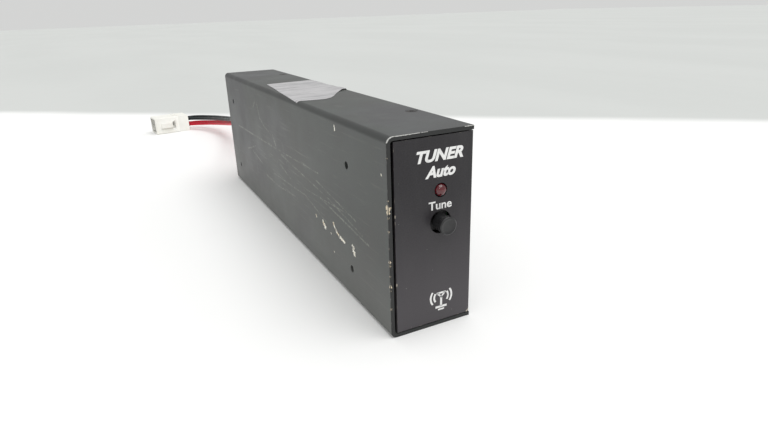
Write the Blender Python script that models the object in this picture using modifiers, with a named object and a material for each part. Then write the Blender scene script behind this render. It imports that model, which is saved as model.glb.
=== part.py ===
"""Side-mounted automatic antenna tuner, built piece by piece.

A folded cover and a folded chassis close round one long circuit board.
The front panel has a push button and a lamp, and the rear panel has the coaxial
sockets, a control jack, an earth stud and the power lead with its white plug.
The origin is the centre of the case's bottom face, +Y runs to the rear and +Z is up.
"""

from math import cos, pi, radians, sin, sqrt

import bmesh
import bpy
from mathutils import Matrix, Vector

# ---------------------------------------------------------------- driving sizes (metres)
CASE_WIDTH = 0.037
CASE_HEIGHT = 0.081
CASE_DEPTH = 0.262
COVER_SHEET = 0.0016
CHASSIS_SHEET = 0.0015
COVER_FOLD_RADIUS = 0.0026
CHASSIS_FOLD_RADIUS = 0.0020
LID_GAP = 0.0004  # chassis to the cover's top and bottom walls
PANEL_SIDE_GAP = 0.0011  # end panels to the cover's left wall
TOUCH_GAP = 0.0003  # between pieces that rest on each other
FIT = 0.0003  # radial clearance of screws, pins and sockets in their holes

FLANGE_WIDTH = 0.010
FLANGE_SETBACK = 0.005
PANEL_LEG = 0.006  # how far each end panel wraps along the side wall

MOUNT_HOLE_RADIUS = 0.00165
MOUNT_HOLE_FRONT_INSET = 0.0368
MOUNT_HOLE_REAR_INSET = 0.0185
MOUNT_HOLE_TOP_INSET = 0.0185
MOUNT_HOLE_BOTTOM_INSET = 0.0152

COVER_SCREW_END_INSET = 0.0397
COVER_SCREW_SIDE_INSET = 0.0042
COVER_SCREW_HEAD_RADIUS = 0.0026
COVER_SCREW_HEAD_DEPTH = 0.0014
COVER_SCREW_LENGTH = 0.0065
SCREW_SHANK_RADIUS = 0.00125

TAPE_THICKNESS = 0.0002
TAPE_FRONT_INSET = 0.100
TAPE_REAR_INSET = 0.0838
TAPE_FLAP = 0.009  # how far the tape folds down over the right side
TAPE_LEFT_INSET = 0.006

STANDOFF_LENGTH = 0.006
STANDOFF_ACROSS_FLATS = 0.0055
BOARD_THICKNESS = 0.0016
BOARD_MARGIN = 0.0055  # board edge to the top and bottom of the chassis
BOARD_FRONT_SETBACK = 0.0045
BOARD_REAR_SETBACK = 0.024
BOARD_HOLE_INSET_Y = 0.007
BOARD_HOLE_INSET_Z = 0.0045
BOARD_SCREW_HEAD_RADIUS = 0.0027
BOARD_SCREW_HEAD_HEIGHT = 0.0020

SWITCH_AXIS_HEIGHT = 0.0048  # axis of the button and lamp above the board
BUTTON_ABOVE_MIDDLE = 0.0048
LAMP_ABOVE_BUTTON = 0.0128
BUTTON_HOLE_RADIUS = 0.0047
BUTTON_RADIUS = 0.00365
BUTTON_PROUD = 0.0058
BUTTON_TRAVEL = 0.0015
BUTTON_CLEARANCE = 0.0008  # left between the cap and the switch at full travel
PLUNGER_RADIUS = 0.0016
SWITCH_SIDE = 0.0085
SWITCH_LENGTH = 0.009
SWITCH_SETBACK = 0.0031  # switch front behind the panel's outer face
SWITCH_FRONT_WALL = 0.0012
SWITCH_BORE_RADIUS = 0.0026
SPRING_RADIUS = 0.0016
SPRING_WIRE_RADIUS = 0.0002
SPRING_LENGTH = 0.003
SPRING_TURNS = 4
LAMP_RADIUS = 0.0025
LAMP_HOLE_RADIUS = 0.0028
LAMP_PROUD = 0.0017
LAMP_LENGTH = 0.0086
LAMP_LEAD_PITCH = 0.00254

SOCKET_TOP_INSET = 0.015
SOCKET_BOTTOM_INSET = 0.0145
SOCKET_OFFSET = 0.001  # sockets to the right of the case's middle
SOCKET_THREAD_RADIUS = 0.0079
SOCKET_SHELL_WALL = 0.0011
SOCKET_SEAT_WALL = 0.0014  # ledge between the shell's bore and its insulator
SOCKET_FLANGE_WALL = 0.0021
SOCKET_FLANGE_THICKNESS = 0.0025
SOCKET_PROUD = 0.015
SOCKET_BORE_DEPTH = 0.011
SOCKET_TAIL = 0.009
SOCKET_CONTACT_RADIUS = 0.0019
SOCKET_CONTACT_WALL = 0.0006
SOCKET_CONTACT_SHY = 0.0015  # contact's mouth below the shell's mouth
SOCKET_CONTACT_DEPTH = 0.010
SOCKET_CONTACT_TAIL = 0.004
SOCKET_NUT_WALL = 0.0016
SOCKET_NUT_THICKNESS = 0.003
THREAD_CHAMFER = 0.0005

JACK_RADIUS = 0.0049
JACK_OFFSET = 0.0085
JACK_BELOW_MIDDLE = 0.0075
JACK_BODY = (0.013, 0.012, 0.012)
JACK_PROUD = 0.0008
JACK_SLOT = (0.0036, 0.0042)  # inner and outer radius of the ring slot
JACK_SLOT_DEPTH = 0.005
JACK_PINS = 6
JACK_PIN_CIRCLE = 0.0023
JACK_PIN_RADIUS = 0.0005
JACK_PIN_DEPTH = 0.004
STUD_RADIUS = 0.0019
STUD_PROUD = 0.0135
STUD_OFFSET = 0.0085
STUD_ABOVE_MIDDLE = 0.0065
STUD_HEAD_ACROSS_FLATS = 0.007
STUD_HEAD_THICKNESS = 0.0026
WING_HUB_RADIUS = 0.0036
WING_HUB_HEIGHT = 0.0045
WING_SPAN = 0.016
WING_HEIGHT = 0.0085
WING_THICKNESS = 0.0014

GROMMET_OFFSET = -0.0060
GROMMET_ABOVE_MIDDLE = 0.0015
GROMMET_HOLE_RADIUS = 0.0055
GROMMET_FLANGE_RADIUS = 0.0070
GROMMET_FLANGE = 0.0019
GROMMET_BORE_RADIUS = 0.0041

RELAYS = 5
RELAY_SIZE = (0.011, 0.0156, 0.0105)  # height above the board, length, width
RELAY_INSET = 0.066  # first relay's middle behind the board's front edge
RELAY_PITCH = 0.0205
RELAY_ROW = 0.0205  # middle of the relays above the case's middle
INDUCTOR_ROW = -0.007
LARGE_RING = (0.0055, 0.0105, 0.0080)  # hole radius, outer radius, height
LARGE_RING_INSET = 0.080
SMALL_RING = (0.0042, 0.0085, 0.0065)
SMALL_RING_INSET = 0.108
SENSOR_RING = (0.0028, 0.0058, 0.0050)
SENSOR_INSET = 0.172
SENSOR_ROW = -0.008
RING_CHAMFER = 0.0006
WINDING_ARC = 300.0  # degrees of the ring that a winding covers
COIL_RADIUS = 0.0038
COIL_WIRE_RADIUS = 0.0005
COIL_TURNS = 5
COIL_PITCH = 0.0017
COIL_INSET = 0.126
MICA_SIZE = (0.009, 0.004, 0.011)
MICA_INSET = 0.145
MICA_PITCH = 0.009
CONTROLLER_SIZE = (0.0036, 0.034, 0.0078)
CONTROLLER_INSET = 0.038
CONTROLLER_ROW = -0.012
CAN_RADIUS = 0.004
CAN_HEIGHT = 0.0115
CAN_CHAMFER = 0.0005
CAN_INSET = 0.045

WIRE_RADIUS = 0.0015
WIRE_PITCH = 0.0033
LEAD_TWIST = 25.0  # degrees that the bundle of four is turned about its own line
TERMINAL_HEIGHT = 0.0125
TERMINAL_LENGTH = 0.009
TERMINAL_SPAN = 0.014

PLUG_OFFSET = -0.0408
PLUG_BEHIND = 0.2290  # plug's middle behind the rear panel
PLUG_TURN = 8.0  # degrees
PLUG_LENGTH = 0.036
PLUG_WIDTH = 0.0208
PLUG_HEIGHT = 0.0175
PLUG_WALL = 0.0018
PLUG_MOUTH_DEPTH = 0.014
PLUG_CONTACT_PITCH = 0.00635
PLUG_HOLE_RADIUS = 0.0018
PLUG_CONTACT_RADIUS = 0.0011
PLUG_CONTACT_LENGTH = 0.024
PLUG_CONTACT_INSET = 0.003
PLUG_LATCH = (0.012, 0.0018, 0.0055)
PLUG_LATCH_LIFT = 0.0004
PLUG_RIB = 0.0016
PLUG_RIB_AT = 0.004  # rib behind the plug's middle, towards the wires

# middle of the lead behind the grommet: x, y behind the rear panel, height
LEAD_ROUTE = (
    (-0.0060, -0.0060, 0.0420),
    (-0.0060, 0.0000, 0.0420),
    (-0.0060, 0.0110, 0.0420),
    (-0.0055, 0.0240, 0.0410),
    (-0.0040, 0.0400, 0.0385),
    (-0.0016, 0.0580, 0.0349),
    (0.0012, 0.0780, 0.0308),
    (0.0040, 0.0980, 0.0271),
    (0.0062, 0.1180, 0.0236),
    (0.0076, 0.1380, 0.0203),
    (0.0080, 0.1570, 0.0175),
    (0.0072, 0.1750, 0.0150),
    (0.0050, 0.1910, 0.0130),
    (0.0014, 0.2050, 0.0114),
    (-0.0036, 0.2165, 0.0102),
    (-0.0100, 0.2254, 0.0095),
    (-0.0168, 0.2306, 0.0091),
)

# ---------------------------------------------------------------- derived places
LEFT = -CASE_WIDTH / 2
RIGHT = CASE_WIDTH / 2
FRONT = -CASE_DEPTH / 2
REAR = CASE_DEPTH / 2
MIDDLE = CASE_HEIGHT / 2
PANEL_BOTTOM = COVER_SHEET + LID_GAP
PANEL_TOP = CASE_HEIGHT - PANEL_BOTTOM
PANEL_LEFT = LEFT + COVER_SHEET + PANEL_SIDE_GAP
SIDE_INNER = RIGHT - CHASSIS_SHEET
BOARD_BACK = SIDE_INNER - STANDOFF_LENGTH - 2 * TOUCH_GAP
BOARD_FACE = BOARD_BACK - BOARD_THICKNESS
BOARD_SEAT = BOARD_FACE - TOUCH_GAP  # where the parts on the board start
BOARD_FRONT = FRONT + BOARD_FRONT_SETBACK
BOARD_REAR = REAR - BOARD_REAR_SETBACK
BOARD_LOW = PANEL_BOTTOM + BOARD_MARGIN
BOARD_HIGH = PANEL_TOP - BOARD_MARGIN
CONTROL_X = BOARD_FACE - SWITCH_AXIS_HEIGHT
BUTTON_Z = MIDDLE + BUTTON_ABOVE_MIDDLE
LAMP_Z = BUTTON_Z + LAMP_ABOVE_BUTTON
GROMMET_Z = MIDDLE + GROMMET_ABOVE_MIDDLE
TOP_SOCKET_Z = CASE_HEIGHT - SOCKET_TOP_INSET
LOW_SOCKET_Z = SOCKET_BOTTOM_INSET
JACK_Z = MIDDLE - JACK_BELOW_MIDDLE
STUD_Z = MIDDLE + STUD_ABOVE_MIDDLE
COVER_SCREW_X = RIGHT - COVER_SCREW_SIDE_INSET

TURN_TO = {
    "+Z": (0.0, 0.0, 0.0),
    "-Z": (pi, 0.0, 0.0),
    "+Y": (-pi / 2, 0.0, 0.0),
    "-Y": (pi / 2, 0.0, 0.0),
    "+X": (0.0, pi / 2, 0.0),
    "-X": (0.0, -pi / 2, 0.0),
}

# ---------------------------------------------------------------- scene and materials
for old in list(bpy.data.objects):
    bpy.data.objects.remove(old, do_unlink=True)

PARTS = bpy.data.collections.new("antenna_tuner")
CUTTERS = bpy.data.collections.new("cutters")
for collection in (PARTS, CUTTERS):
    bpy.context.scene.collection.children.link(collection)

PALETTE = {
    "grey_paint": ((0.115, 0.120, 0.112), 0.55, 0.0),
    "black_paint": ((0.035, 0.034, 0.036), 0.45, 0.0),
    "black_screw": ((0.040, 0.040, 0.042), 0.40, 0.9),
    "steel": ((0.55, 0.55, 0.56), 0.30, 1.0),
    "nickel": ((0.66, 0.64, 0.60), 0.25, 1.0),
    "brass": ((0.72, 0.55, 0.25), 0.30, 1.0),
    "copper": ((0.72, 0.33, 0.16), 0.35, 1.0),
    "black_plastic": ((0.020, 0.020, 0.022), 0.40, 0.0),
    "white_plastic": ((0.80, 0.79, 0.74), 0.45, 0.0),
    "red_lens": ((0.35, 0.01, 0.015), 0.12, 0.0),
    "board_green": ((0.02, 0.16, 0.07), 0.45, 0.0),
    "iron_powder": ((0.55, 0.06, 0.04), 0.60, 0.0),
    "relay_case": ((0.03, 0.05, 0.14), 0.40, 0.0),
    "mica": ((0.42, 0.16, 0.05), 0.40, 0.0),
    "can_sleeve": ((0.03, 0.04, 0.10), 0.35, 0.0),
    "rubber": ((0.018, 0.018, 0.018), 0.80, 0.0),
    "red_wire": ((0.45, 0.01, 0.02), 0.40, 0.0),
    "black_wire": ((0.015, 0.017, 0.018), 0.40, 0.0),
    "clear_film": ((0.62, 0.62, 0.60), 0.25, 0.0),
    "socket_insulator": ((0.72, 0.70, 0.62), 0.50, 0.0),
}


def material(name):
    """One Principled material for each finish, made when it is first used."""
    found = bpy.data.materials.get(name)
    if found:
        return found
    colour, roughness, metallic = PALETTE[name]
    made = bpy.data.materials.new(name)
    made.use_nodes = True
    shader = made.node_tree.nodes["Principled BSDF"]
    shader.inputs["Base Color"].default_value = (*colour, 1.0)
    shader.inputs["Roughness"].default_value = roughness
    shader.inputs["Metallic"].default_value = metallic
    made.diffuse_color = (*colour, 1.0)
    return made


# ---------------------------------------------------------------- modelling helpers
def add_mesh(name, mesh, finish=None):
    """A mesh object among the parts, or a hidden cutter where it has no finish."""
    thing = bpy.data.objects.new(name, mesh)
    if finish:
        mesh.materials.clear()
        mesh.materials.append(material(finish))
        PARTS.objects.link(thing)
        return thing
    CUTTERS.objects.link(thing)
    thing.hide_render = True
    thing.display_type = "WIRE"
    return thing


def box(name, size, centre, finish=None, bevel=0.0, segments=1):
    """A box of the given size, with its edges rounded where a bevel is given."""
    mesh = bpy.data.meshes.new(name)
    shape = bmesh.new()
    bmesh.ops.create_cube(shape, size=1.0)
    bmesh.ops.scale(shape, vec=size, verts=shape.verts)
    shape.to_mesh(mesh)
    shape.free()
    thing = add_mesh(name, mesh, finish)
    thing.location = centre
    if bevel:
        edge = thing.modifiers.new("rounded_edges", "BEVEL")
        edge.width = bevel
        edge.segments = segments
    return thing


def turned(name, profile, place, towards, finish=None, closed=False, steps=24):
    """A profile of (radius, height) points, outer side top to bottom, turned about its axis."""
    mesh = bpy.data.meshes.new(name)
    edges = [(i, i + 1) for i in range(len(profile) - 1)]
    if closed:
        edges.append((len(profile) - 1, 0))
    mesh.from_pydata([(r, 0.0, z) for r, z in profile], edges, [])
    thing = add_mesh(name, mesh, finish)
    thing.location = place
    thing.rotation_euler = TURN_TO[towards]
    turn = thing.modifiers.new("turned", "SCREW")
    turn.axis = "Z"
    turn.steps = steps
    turn.render_steps = steps
    turn.use_merge_vertices = True
    turn.merge_threshold = 0.00001
    return thing


def pin(name, radius, low, high, place, towards, finish=None, steps=24):
    """A plain cylinder between two heights along its axis."""
    profile = [(0.0, high), (radius, high), (radius, low), (0.0, low)]
    return turned(name, profile, place, towards, finish, steps=steps)


def hexagon(name, across_flats, low, high, place, towards, finish):
    """A hexagonal bar between two heights along its axis."""
    profile_radius = across_flats / sqrt(3.0)
    return pin(name, profile_radius, low, high, place, towards, finish, steps=6)


def outline_plate(name, points, thickness, place, turn, finish=None):
    """A flat outline filled as a 2D curve, with half its thickness to each side."""
    curve = bpy.data.curves.new(name, "CURVE")
    curve.dimensions = "2D"
    curve.fill_mode = "BOTH"
    curve.extrude = thickness / 2
    spline = curve.splines.new("POLY")
    spline.points.add(len(points) - 1)
    for point, (x, y) in zip(spline.points, points):
        point.co = (x, y, 0.0, 1.0)
    spline.use_cyclic_u = True
    flat = bpy.data.objects.new(name, curve)
    CUTTERS.objects.link(flat)
    flat.location = place
    flat.rotation_euler = turn
    return curve_to_mesh(flat, finish)


def curve_to_mesh(drawn, finish):
    """The curve's evaluated mesh as a new object in its place, with its caps welded."""
    bpy.context.view_layer.update()
    mesh = bpy.data.meshes.new_from_object(drawn.evaluated_get(bpy.context.evaluated_depsgraph_get()))
    shape = bmesh.new()
    shape.from_mesh(mesh)
    bmesh.ops.remove_doubles(shape, verts=shape.verts, dist=0.00001)
    bmesh.ops.recalc_face_normals(shape, faces=shape.faces)
    shape.to_mesh(mesh)
    shape.free()
    name = drawn.name
    matrix = drawn.matrix_world.copy()
    bpy.data.objects.remove(drawn, do_unlink=True)
    mesh.name = name
    thing = add_mesh(name, mesh, finish)
    thing.name = name
    thing.matrix_world = matrix
    return thing


def wire(name, points, radius, finish, sides=2):
    """A round wire through the points, with filled ends."""
    curve = bpy.data.curves.new(name, "CURVE")
    curve.dimensions = "3D"
    curve.bevel_depth = radius
    curve.bevel_resolution = sides
    curve.use_fill_caps = True
    spline = curve.splines.new("POLY")
    spline.points.add(len(points) - 1)
    for point, place in zip(spline.points, points):
        point.co = (*place, 1.0)
    curve.materials.append(material(finish))
    thing = bpy.data.objects.new(name, curve)
    PARTS.objects.link(thing)
    return thing


def folded_path(corners, radius, steps=4):
    """The corners of a right-angled path with each inner corner rounded to the radius."""
    points = [Vector(corners[0])]
    for before, corner, after in zip(corners, corners[1:], corners[2:]):
        corner = Vector(corner)
        back = (Vector(before) - corner).normalized()
        on = (Vector(after) - corner).normalized()
        for step in range(steps + 1):
            angle = pi / 2 * step / steps
            points.append(corner + back * radius * (1 - sin(angle)) + on * radius * (1 - cos(angle)))
    points.append(Vector(corners[-1]))
    return points


def folded_sheet(name, corners, radius, along, start, end, thickness, finish=None):
    """Sheet metal: an open surface along Y or Z that follows the folded path, made solid inwards."""
    path = folded_path(corners, radius)

    def place(point, distance):
        return (point.x, distance, point.y) if along == "Y" else (point.x, point.y, distance)

    points = [place(point, distance) for point in path for distance in (start, end)]
    faces = [(2 * i, 2 * i + 2, 2 * i + 3, 2 * i + 1) for i in range(len(path) - 1)]
    mesh = bpy.data.meshes.new(name)
    mesh.from_pydata(points, [], faces)
    sheet = add_mesh(name, mesh, finish)
    solid = sheet.modifiers.new("sheet_thickness", "SOLIDIFY")
    solid.thickness = thickness
    solid.offset = -1.0
    solid.use_even_offset = True
    return sheet


def boolean(thing, other, operation):
    """Cut or join another object, which stays behind as a hidden cutter."""
    step = thing.modifiers.new(f"{operation.lower()}_{other.name}", "BOOLEAN")
    step.operation = operation
    step.solver = "EXACT"
    step.object = other
    return thing


def cut(thing, *others):
    """Take each of the other shapes out of this one."""
    for other in others:
        boolean(thing, other, "DIFFERENCE")
    return thing


def join(thing, *others):
    """Unite each of the other shapes with this one."""
    for other in others:
        boolean(thing, other, "UNION")
    return thing


def smooth(thing, angle=40.0):
    """Shade a round piece smooth and keep its edges sharp."""
    thing.data.shade_smooth()
    if thing.type == "MESH":
        thing.data.set_sharp_from_angle(angle=radians(angle))
    return thing


def finished_mesh(thing):
    """The evaluated mesh of a piece that is about to be repeated."""
    bpy.context.view_layer.update()
    evaluated = thing.evaluated_get(bpy.context.evaluated_depsgraph_get())
    return bpy.data.meshes.new_from_object(evaluated)


def copies(pattern, finish, places, towards):
    """One object for each name and place, all of them sharing the pattern's mesh."""
    mesh = finished_mesh(pattern)
    bpy.data.objects.remove(pattern, do_unlink=True)
    for name, place in places.items():
        made = add_mesh(name, mesh, finish)
        made.location = place
        made.rotation_euler = TURN_TO[towards[name] if isinstance(towards, dict) else towards]


def cross_recess(name, arm, width, depth, top):
    """Two crossed bars that cut a cross into a screw head."""
    centre = (0.0, 0.0, top - depth / 2 + 0.0001)
    along = box(f"{name}_along", (2 * arm, width, depth + 0.0002), centre)
    across = box(f"{name}_across", (width, 2 * arm, depth + 0.0002), centre)
    return along, across


# ---------------------------------------------------------------- cover
def make_cover():
    """The grey cover: left side, top and bottom, folded from one sheet."""
    corners = [(RIGHT, 0.0), (LEFT, 0.0), (LEFT, CASE_HEIGHT), (RIGHT, CASE_HEIGHT)]
    cover = folded_sheet(
        "cover", corners, COVER_FOLD_RADIUS, "Y", FRONT, REAR, COVER_SHEET, "grey_paint"
    )
    for label, y in (("front", FRONT + MOUNT_HOLE_FRONT_INSET), ("rear", REAR - MOUNT_HOLE_REAR_INSET)):
        for level, z in (("high", CASE_HEIGHT - MOUNT_HOLE_TOP_INSET), ("low", MOUNT_HOLE_BOTTOM_INSET)):
            hole = pin(
                f"mount_hole_{label}_{level}", MOUNT_HOLE_RADIUS, -COVER_SHEET * 2, COVER_SHEET * 2,
                (LEFT, y, z), "-X",
            )
            cut(cover, hole)
    for name, (place, towards) in cover_screw_places().items():
        wide = COVER_SCREW_HEAD_RADIUS + FIT
        narrow = SCREW_SHANK_RADIUS + FIT
        sink = [
            (0.0, FIT), (wide + FIT, FIT), (narrow, -COVER_SCREW_HEAD_DEPTH),
            (narrow, -2 * COVER_SHEET), (0.0, -2 * COVER_SHEET),
        ]
        cut(cover, turned(f"{name}_sink", sink, place, towards, steps=20))


def cover_screw_places():
    """Each cover screw's name, its place on the cover's outer face and its outward direction."""
    found = {}
    for level, z, towards in (("top", CASE_HEIGHT, "+Z"), ("bottom", 0.0, "-Z")):
        for end, y in (("front", FRONT + COVER_SCREW_END_INSET), ("rear", REAR - COVER_SCREW_END_INSET)):
            found[f"cover_screw_{level}_{end}"] = ((COVER_SCREW_X, y, z), towards)
    return found


def make_cover_screws():
    """Countersunk cross-head screws, their heads just under the paint."""
    top = -0.0001
    profile = [
        (0.0, top), (COVER_SCREW_HEAD_RADIUS, top), (SCREW_SHANK_RADIUS, -COVER_SCREW_HEAD_DEPTH),
        (SCREW_SHANK_RADIUS, -COVER_SCREW_LENGTH), (0.0, -COVER_SCREW_LENGTH),
    ]
    pattern = turned("cover_screw_pattern", profile, (0, 0, 0), "+Z", steps=20)
    cut(pattern, *cross_recess("cover_recess", 0.0015, 0.0005, 0.0008, top))
    places = {name: place for name, (place, _) in cover_screw_places().items()}
    towards = {name: way for name, (_, way) in cover_screw_places().items()}
    copies(pattern, "black_screw", places, towards)


# ---------------------------------------------------------------- chassis
def make_chassis():
    """The black chassis: both end panels, the right side and its screw flanges."""
    inner_end = FLANGE_SETBACK
    side = [
        (RIGHT - FLANGE_WIDTH, PANEL_TOP), (RIGHT, PANEL_TOP),
        (RIGHT, PANEL_BOTTOM), (RIGHT - FLANGE_WIDTH, PANEL_BOTTOM),
    ]
    chassis = folded_sheet(
        "chassis", side, CHASSIS_FOLD_RADIUS, "Y", FRONT + inner_end, REAR - inner_end,
        CHASSIS_SHEET, "black_paint",
    )
    front = [(PANEL_LEFT, FRONT), (RIGHT, FRONT), (RIGHT, FRONT + PANEL_LEG)]
    rear = [(RIGHT, REAR - PANEL_LEG), (RIGHT, REAR), (PANEL_LEFT, REAR)]
    for name, corners in (("front_panel", front), ("rear_panel", rear)):
        panel = folded_sheet(
            name, corners, CHASSIS_FOLD_RADIUS, "Z", PANEL_BOTTOM, PANEL_TOP, CHASSIS_SHEET
        )
        join(chassis, panel)
    reach = 2 * CHASSIS_SHEET
    front_holes = {
        "button_hole": (BUTTON_HOLE_RADIUS, CONTROL_X, BUTTON_Z),
        "lamp_hole": (LAMP_HOLE_RADIUS, CONTROL_X, LAMP_Z),
    }
    rear_holes = {
        "top_socket_hole": (SOCKET_THREAD_RADIUS + FIT, SOCKET_OFFSET, TOP_SOCKET_Z),
        "low_socket_hole": (SOCKET_THREAD_RADIUS + FIT, SOCKET_OFFSET, LOW_SOCKET_Z),
        "jack_hole": (JACK_RADIUS + FIT, JACK_OFFSET, JACK_Z),
        "stud_hole": (STUD_RADIUS + FIT, STUD_OFFSET, STUD_Z),
        "grommet_hole": (GROMMET_HOLE_RADIUS, GROMMET_OFFSET, GROMMET_Z),
    }
    for name, (radius, x, z) in front_holes.items():
        cut(chassis, pin(name, radius, -reach, reach, (x, FRONT, z), "-Y"))
    for name, (radius, x, z) in rear_holes.items():
        cut(chassis, pin(name, radius, -reach, reach, (x, REAR, z), "+Y"))
    for name, ((x, y, z), towards) in cover_screw_places().items():
        depth = PANEL_BOTTOM + reach
        hole = pin(
            f"{name}_flange_hole", SCREW_SHANK_RADIUS + FIT, -depth, 0.0, (x, y, z), towards, steps=16
        )
        cut(chassis, hole)


# ---------------------------------------------------------------- front controls
def make_button():
    """The button cap, its plunger and its return spring, all on the button's own axis."""
    axis = bpy.data.objects.new("tune_button_axis", None)
    PARTS.objects.link(axis)
    axis.location = (CONTROL_X, FRONT, BUTTON_Z)
    axis.rotation_euler = TURN_TO["-Y"]
    rim = BUTTON_RADIUS
    proud = BUTTON_PROUD
    skirt = BUTTON_RADIUS - 0.0003
    bore = PLUNGER_RADIUS + FIT
    bore_top = proud - 0.0026
    base = BUTTON_TRAVEL + BUTTON_CLEARANCE - SWITCH_SETBACK
    cap = [
        (0.0, proud - 0.00045), (rim * 0.55, proud - 0.00035), (rim * 0.82, proud - 0.00005),
        (rim * 0.90, proud), (rim, proud - 0.0004), (rim, proud - 0.0022), (skirt, proud - 0.0025),
        (skirt, base), (bore, base), (bore, bore_top), (0.0, bore_top),
    ]
    smooth(turned("tune_button", cap, (0, 0, 0), "+Z", "black_plastic", steps=28)).parent = axis
    wall_back = -SWITCH_SETBACK - SWITCH_FRONT_WALL
    collar = SWITCH_BORE_RADIUS - FIT
    collar_top = wall_back - TOUCH_GAP
    collar_end = collar_top - 0.001
    plunger = [
        (0.0, bore_top - TOUCH_GAP), (PLUNGER_RADIUS, bore_top - TOUCH_GAP), (PLUNGER_RADIUS, collar_top),
        (collar, collar_top), (collar, collar_end), (0.0, collar_end),
    ]
    turned("switch_plunger", plunger, (0, 0, 0), "+Z", "white_plastic", steps=20).parent = axis
    start = collar_end - TOUCH_GAP - SPRING_WIRE_RADIUS
    run = SPRING_LENGTH - 2 * SPRING_WIRE_RADIUS
    steps = SPRING_TURNS * 8
    coil = [
        (
            SPRING_RADIUS * cos(2 * pi * i / 8),
            SPRING_RADIUS * sin(2 * pi * i / 8),
            start - run * i / steps,
        )
        for i in range(steps + 1)
    ]
    wire("return_spring", coil, SPRING_WIRE_RADIUS, "steel", sides=1).parent = axis


def make_switch():
    """The switch body that stands on the board, bored for the plunger and its spring."""
    centre = (
        BOARD_SEAT - SWITCH_SIDE / 2,
        FRONT + SWITCH_SETBACK + SWITCH_LENGTH / 2,
        BUTTON_Z,
    )
    body = box("switch_body", (SWITCH_SIDE, SWITCH_LENGTH, SWITCH_SIDE), centre, "black_plastic")
    at = (CONTROL_X, FRONT, BUTTON_Z)
    front = -SWITCH_SETBACK
    cavity_end = front - SWITCH_LENGTH + SWITCH_FRONT_WALL
    cut(body, pin("switch_mouth", PLUNGER_RADIUS + FIT, front - 0.002, front + 0.001, at, "-Y", steps=20))
    cut(
        body,
        pin("switch_bore", SWITCH_BORE_RADIUS, cavity_end, front - SWITCH_FRONT_WALL, at, "-Y", steps=20),
    )


def make_lamp():
    """The red lamp: a domed lens with its rim and two bent leads."""
    profile = [(0.0, LAMP_PROUD)]
    for step in range(1, 6):
        angle = pi / 2 * step / 5
        profile.append((LAMP_RADIUS * sin(angle), LAMP_PROUD - LAMP_RADIUS * (1 - cos(angle))))
    back = LAMP_PROUD - LAMP_LENGTH
    rim = LAMP_RADIUS + 0.0004
    profile += [(LAMP_RADIUS, back + 0.001), (rim, back + 0.001), (rim, back), (0.0, back)]
    lamp = turned("status_lamp", profile, (CONTROL_X, FRONT, LAMP_Z), "-Y", "red_lens")
    lead = 0.0005
    reach = 0.0035
    bend_y = FRONT - back + reach
    for side, sign in (("low", -1), ("high", 1)):
        z = LAMP_Z + sign * LAMP_LEAD_PITCH / 2
        run = box(
            f"lamp_lead_{side}", (lead, reach + lead, lead),
            (CONTROL_X, bend_y - reach / 2, z),
        )
        end = BOARD_SEAT
        drop = box(
            f"lamp_foot_{side}", (end - CONTROL_X + lead, lead * 1.2, lead * 1.2),
            ((end + CONTROL_X) / 2, bend_y, z),
        )
        join(lamp, run, drop)
    smooth(lamp)


# ---------------------------------------------------------------- board
def board_hole_places():
    """The board's four fixing points, by name."""
    return {
        f"{level}_{end}": (y, z)
        for level, z in (("high", BOARD_HIGH - BOARD_HOLE_INSET_Z), ("low", BOARD_LOW + BOARD_HOLE_INSET_Z))
        for end, y in (("front", BOARD_FRONT + BOARD_HOLE_INSET_Y), ("rear", BOARD_REAR - BOARD_HOLE_INSET_Y))
    }


def make_board():
    """The long circuit board, its standoffs and its screws."""
    size = (BOARD_THICKNESS, BOARD_REAR - BOARD_FRONT, BOARD_HIGH - BOARD_LOW)
    centre = (
        (BOARD_FACE + BOARD_BACK) / 2,
        (BOARD_REAR + BOARD_FRONT) / 2,
        (BOARD_HIGH + BOARD_LOW) / 2,
    )
    board = box("main_board", size, centre, "board_green")
    hole = SCREW_SHANK_RADIUS + FIT
    spots = board_hole_places()
    for spot, (y, z) in spots.items():
        reach = 2 * BOARD_THICKNESS
        cut(board, pin(f"board_hole_{spot}", hole, -reach, reach, (centre[0], y, z), "-X", steps=16))
    standoff = hexagon(
        "standoff_pattern", STANDOFF_ACROSS_FLATS, 0.0, STANDOFF_LENGTH, (0, 0, 0), "+Z", None
    )
    cut(standoff, pin("standoff_bore", hole, -0.001, STANDOFF_LENGTH + 0.001, (0, 0, 0), "+Z", steps=16))
    root = SIDE_INNER - TOUCH_GAP
    copies(standoff, "brass", {f"standoff_{s}": (root, y, z) for s, (y, z) in spots.items()}, "-X")
    head = BOARD_SCREW_HEAD_RADIUS
    height = BOARD_SCREW_HEAD_HEIGHT
    length = BOARD_THICKNESS + STANDOFF_LENGTH - 0.001
    profile = [
        (0.0, height), (head * 0.6, height), (head, height * 0.55), (head, 0.0),
        (SCREW_SHANK_RADIUS, 0.0), (SCREW_SHANK_RADIUS, -length), (0.0, -length),
    ]
    pattern = turned("board_screw_pattern", profile, (0, 0, 0), "+Z", steps=16)
    cut(pattern, *cross_recess("board_recess", 0.0013, 0.0005, 0.0009, height))
    copies(pattern, "steel", {f"board_screw_{s}": (BOARD_SEAT, y, z) for s, (y, z) in spots.items()}, "-X")


def on_board(name, size, y, z, finish, bevel=0.0):
    """A block of (height, length, width) that stands on the board's face."""
    return box(name, size, (BOARD_SEAT - size[0] / 2, y, z), finish, bevel)


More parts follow.
